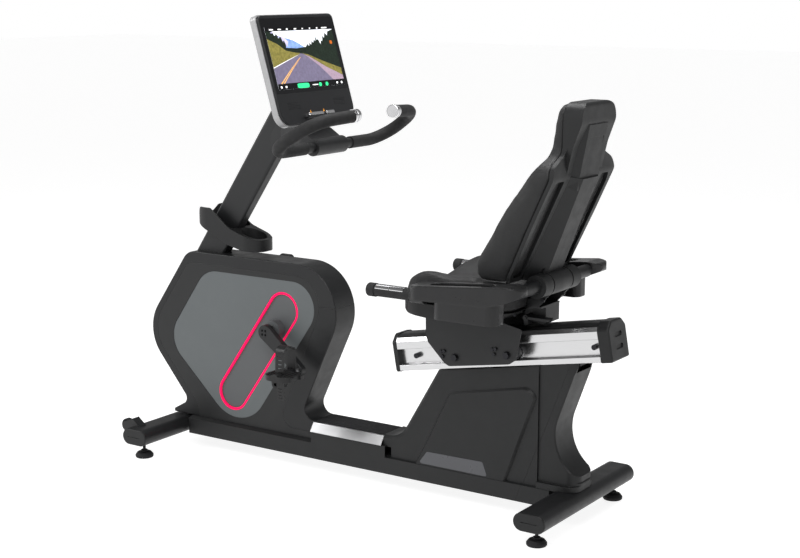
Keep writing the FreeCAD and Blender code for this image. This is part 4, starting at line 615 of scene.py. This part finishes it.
def console_ledge():
    """Small bright book ledge with two orange clips, under the display."""
    work = bmesh.new()
    bottom, top = LEDGE_BOTTOM, LEDGE_BOTTOM + LEDGE_TALL
    for low, high in LEDGE_SPANS:
        corners = [(low, bottom), (high, bottom), (high - 0.003, top), (low + 0.003, top)]
        prism(work, [on_glass(a, u, LEDGE_BACK) for a, u in corners],
              [on_glass(a * 0.999, u - 0.002, LEDGE_BACK + LEDGE_DEEP) for a, u in corners])
    bmesh.ops.recalc_face_normals(work, faces=work.faces)
    bmesh.ops.bevel(work, geom=work.edges[:], offset=0.0012, segments=3, affect="EDGES")
    made_piece(work, "console_ledge", MATERIALS["chrome_trim"])


def ledge_clips():
    work = bmesh.new()
    for across in CLIP_ACROSS:
        corners = [(across, -0.068), (across + 0.008, -0.068), (across + 0.004, -0.058)]
        prism(work, [on_glass(a, u, CLIP_BACK) for a, u in corners],
              [on_glass(a, u, CLIP_FRONT) for a, u in corners])
    bmesh.ops.recalc_face_normals(work, faces=work.faces)
    bmesh.ops.bevel(work, geom=work.edges[:], offset=0.0004, segments=2, affect="EDGES")
    made_piece(work, "ledge_clips", painted("orange_clip", (0.80, 0.30, 0.02), 0.35, coat=0.2))


console_ledge()
ledge_clips()


# ---------------------------------------------------------------- studio

def studio_floor():
    mesh = bpy.data.meshes.new("studio_floor")
    mesh.from_pydata([(-30, -30, 0), (30, -30, 0), (30, 30, 0), (-30, 30, 0)], [], [(0, 1, 2, 3)])
    obj = bpy.data.objects.new("studio_floor", mesh)
    bpy.context.scene.collection.objects.link(obj)
    m = Maker("pale_floor")
    m.link(m.mix(m.noise(1.5, 3.0), (0.34, 0.34, 0.34), (0.37, 0.37, 0.37)), m.shader.inputs["Base Color"])
    m.link(m.remap(m.noise(40.0), 0.3, 0.7, 0.55, 0.65), m.shader.inputs["Roughness"])
    m.shader.inputs["Emission Color"].default_value = (1, 1, 1, 1)
    m.shader.inputs["Emission Strength"].default_value = 0.86
    obj.data.materials.append(m.finish(specular=0.2))


def area_light(name, place, aim, size, power):
    lamp = bpy.data.lights.new(name, "AREA")
    lamp.shape = "RECTANGLE"
    lamp.size, lamp.size_y = size
    lamp.energy = power
    obj = bpy.data.objects.new(name, lamp)
    obj.location = place
    obj.rotation_euler = (Vector(aim) - Vector(place)).to_track_quat("-Z", "Y").to_euler()
    bpy.context.scene.collection.objects.link(obj)


def studio():
    studio_floor()
    area_light("key_light", (1.6, -3.4, 3.6), (0, 0, 0.6), (2.6, 2.0), 130)
    area_light("side_light", (-3.4, -2.2, 2.4), (-0.3, 0, 0.7), (1.6, 2.4), 90)
    area_light("top_light", (0.2, 0.6, 3.8), (0, 0, 0.4), (3.2, 1.6), 120)
    world = bpy.data.worlds.new("studio_world")
    world.use_nodes = True
    tree = world.node_tree
    height = tree.nodes.new("ShaderNodeSeparateXYZ")
    tree.links.new(tree.nodes.new("ShaderNodeTexCoord").outputs["Generated"], height.inputs["Vector"])
    fade = tree.nodes.new("ShaderNodeMapRange")
    fade.inputs["From Min"].default_value = 0.02
    fade.inputs["From Max"].default_value = 0.30
    fade.inputs["To Min"].default_value = 1.0
    fade.inputs["To Max"].default_value = 0.22
    tree.links.new(height.outputs["Z"], fade.inputs["Value"])
    tree.links.new(fade.outputs["Result"], tree.nodes["Background"].inputs["Strength"])
    tree.nodes["Background"].inputs["Color"].default_value = (1, 1, 1, 1)
    bpy.context.scene.world = world
    bpy.context.scene.view_settings.view_transform = "Standard"


def camera():
    lens = bpy.data.cameras.new("photo_camera")
    lens.lens = CAMERA_LENS
    lens.sensor_width = 36
    obj = bpy.data.objects.new("photo_camera", lens)
    obj.location = CAMERA_PLACE
    obj.rotation_euler = Vector(CAMERA_AIM).to_track_quat("-Z", "Y").to_euler()
    bpy.context.scene.collection.objects.link(obj)
    bpy.context.scene.camera = obj


studio()
camera()
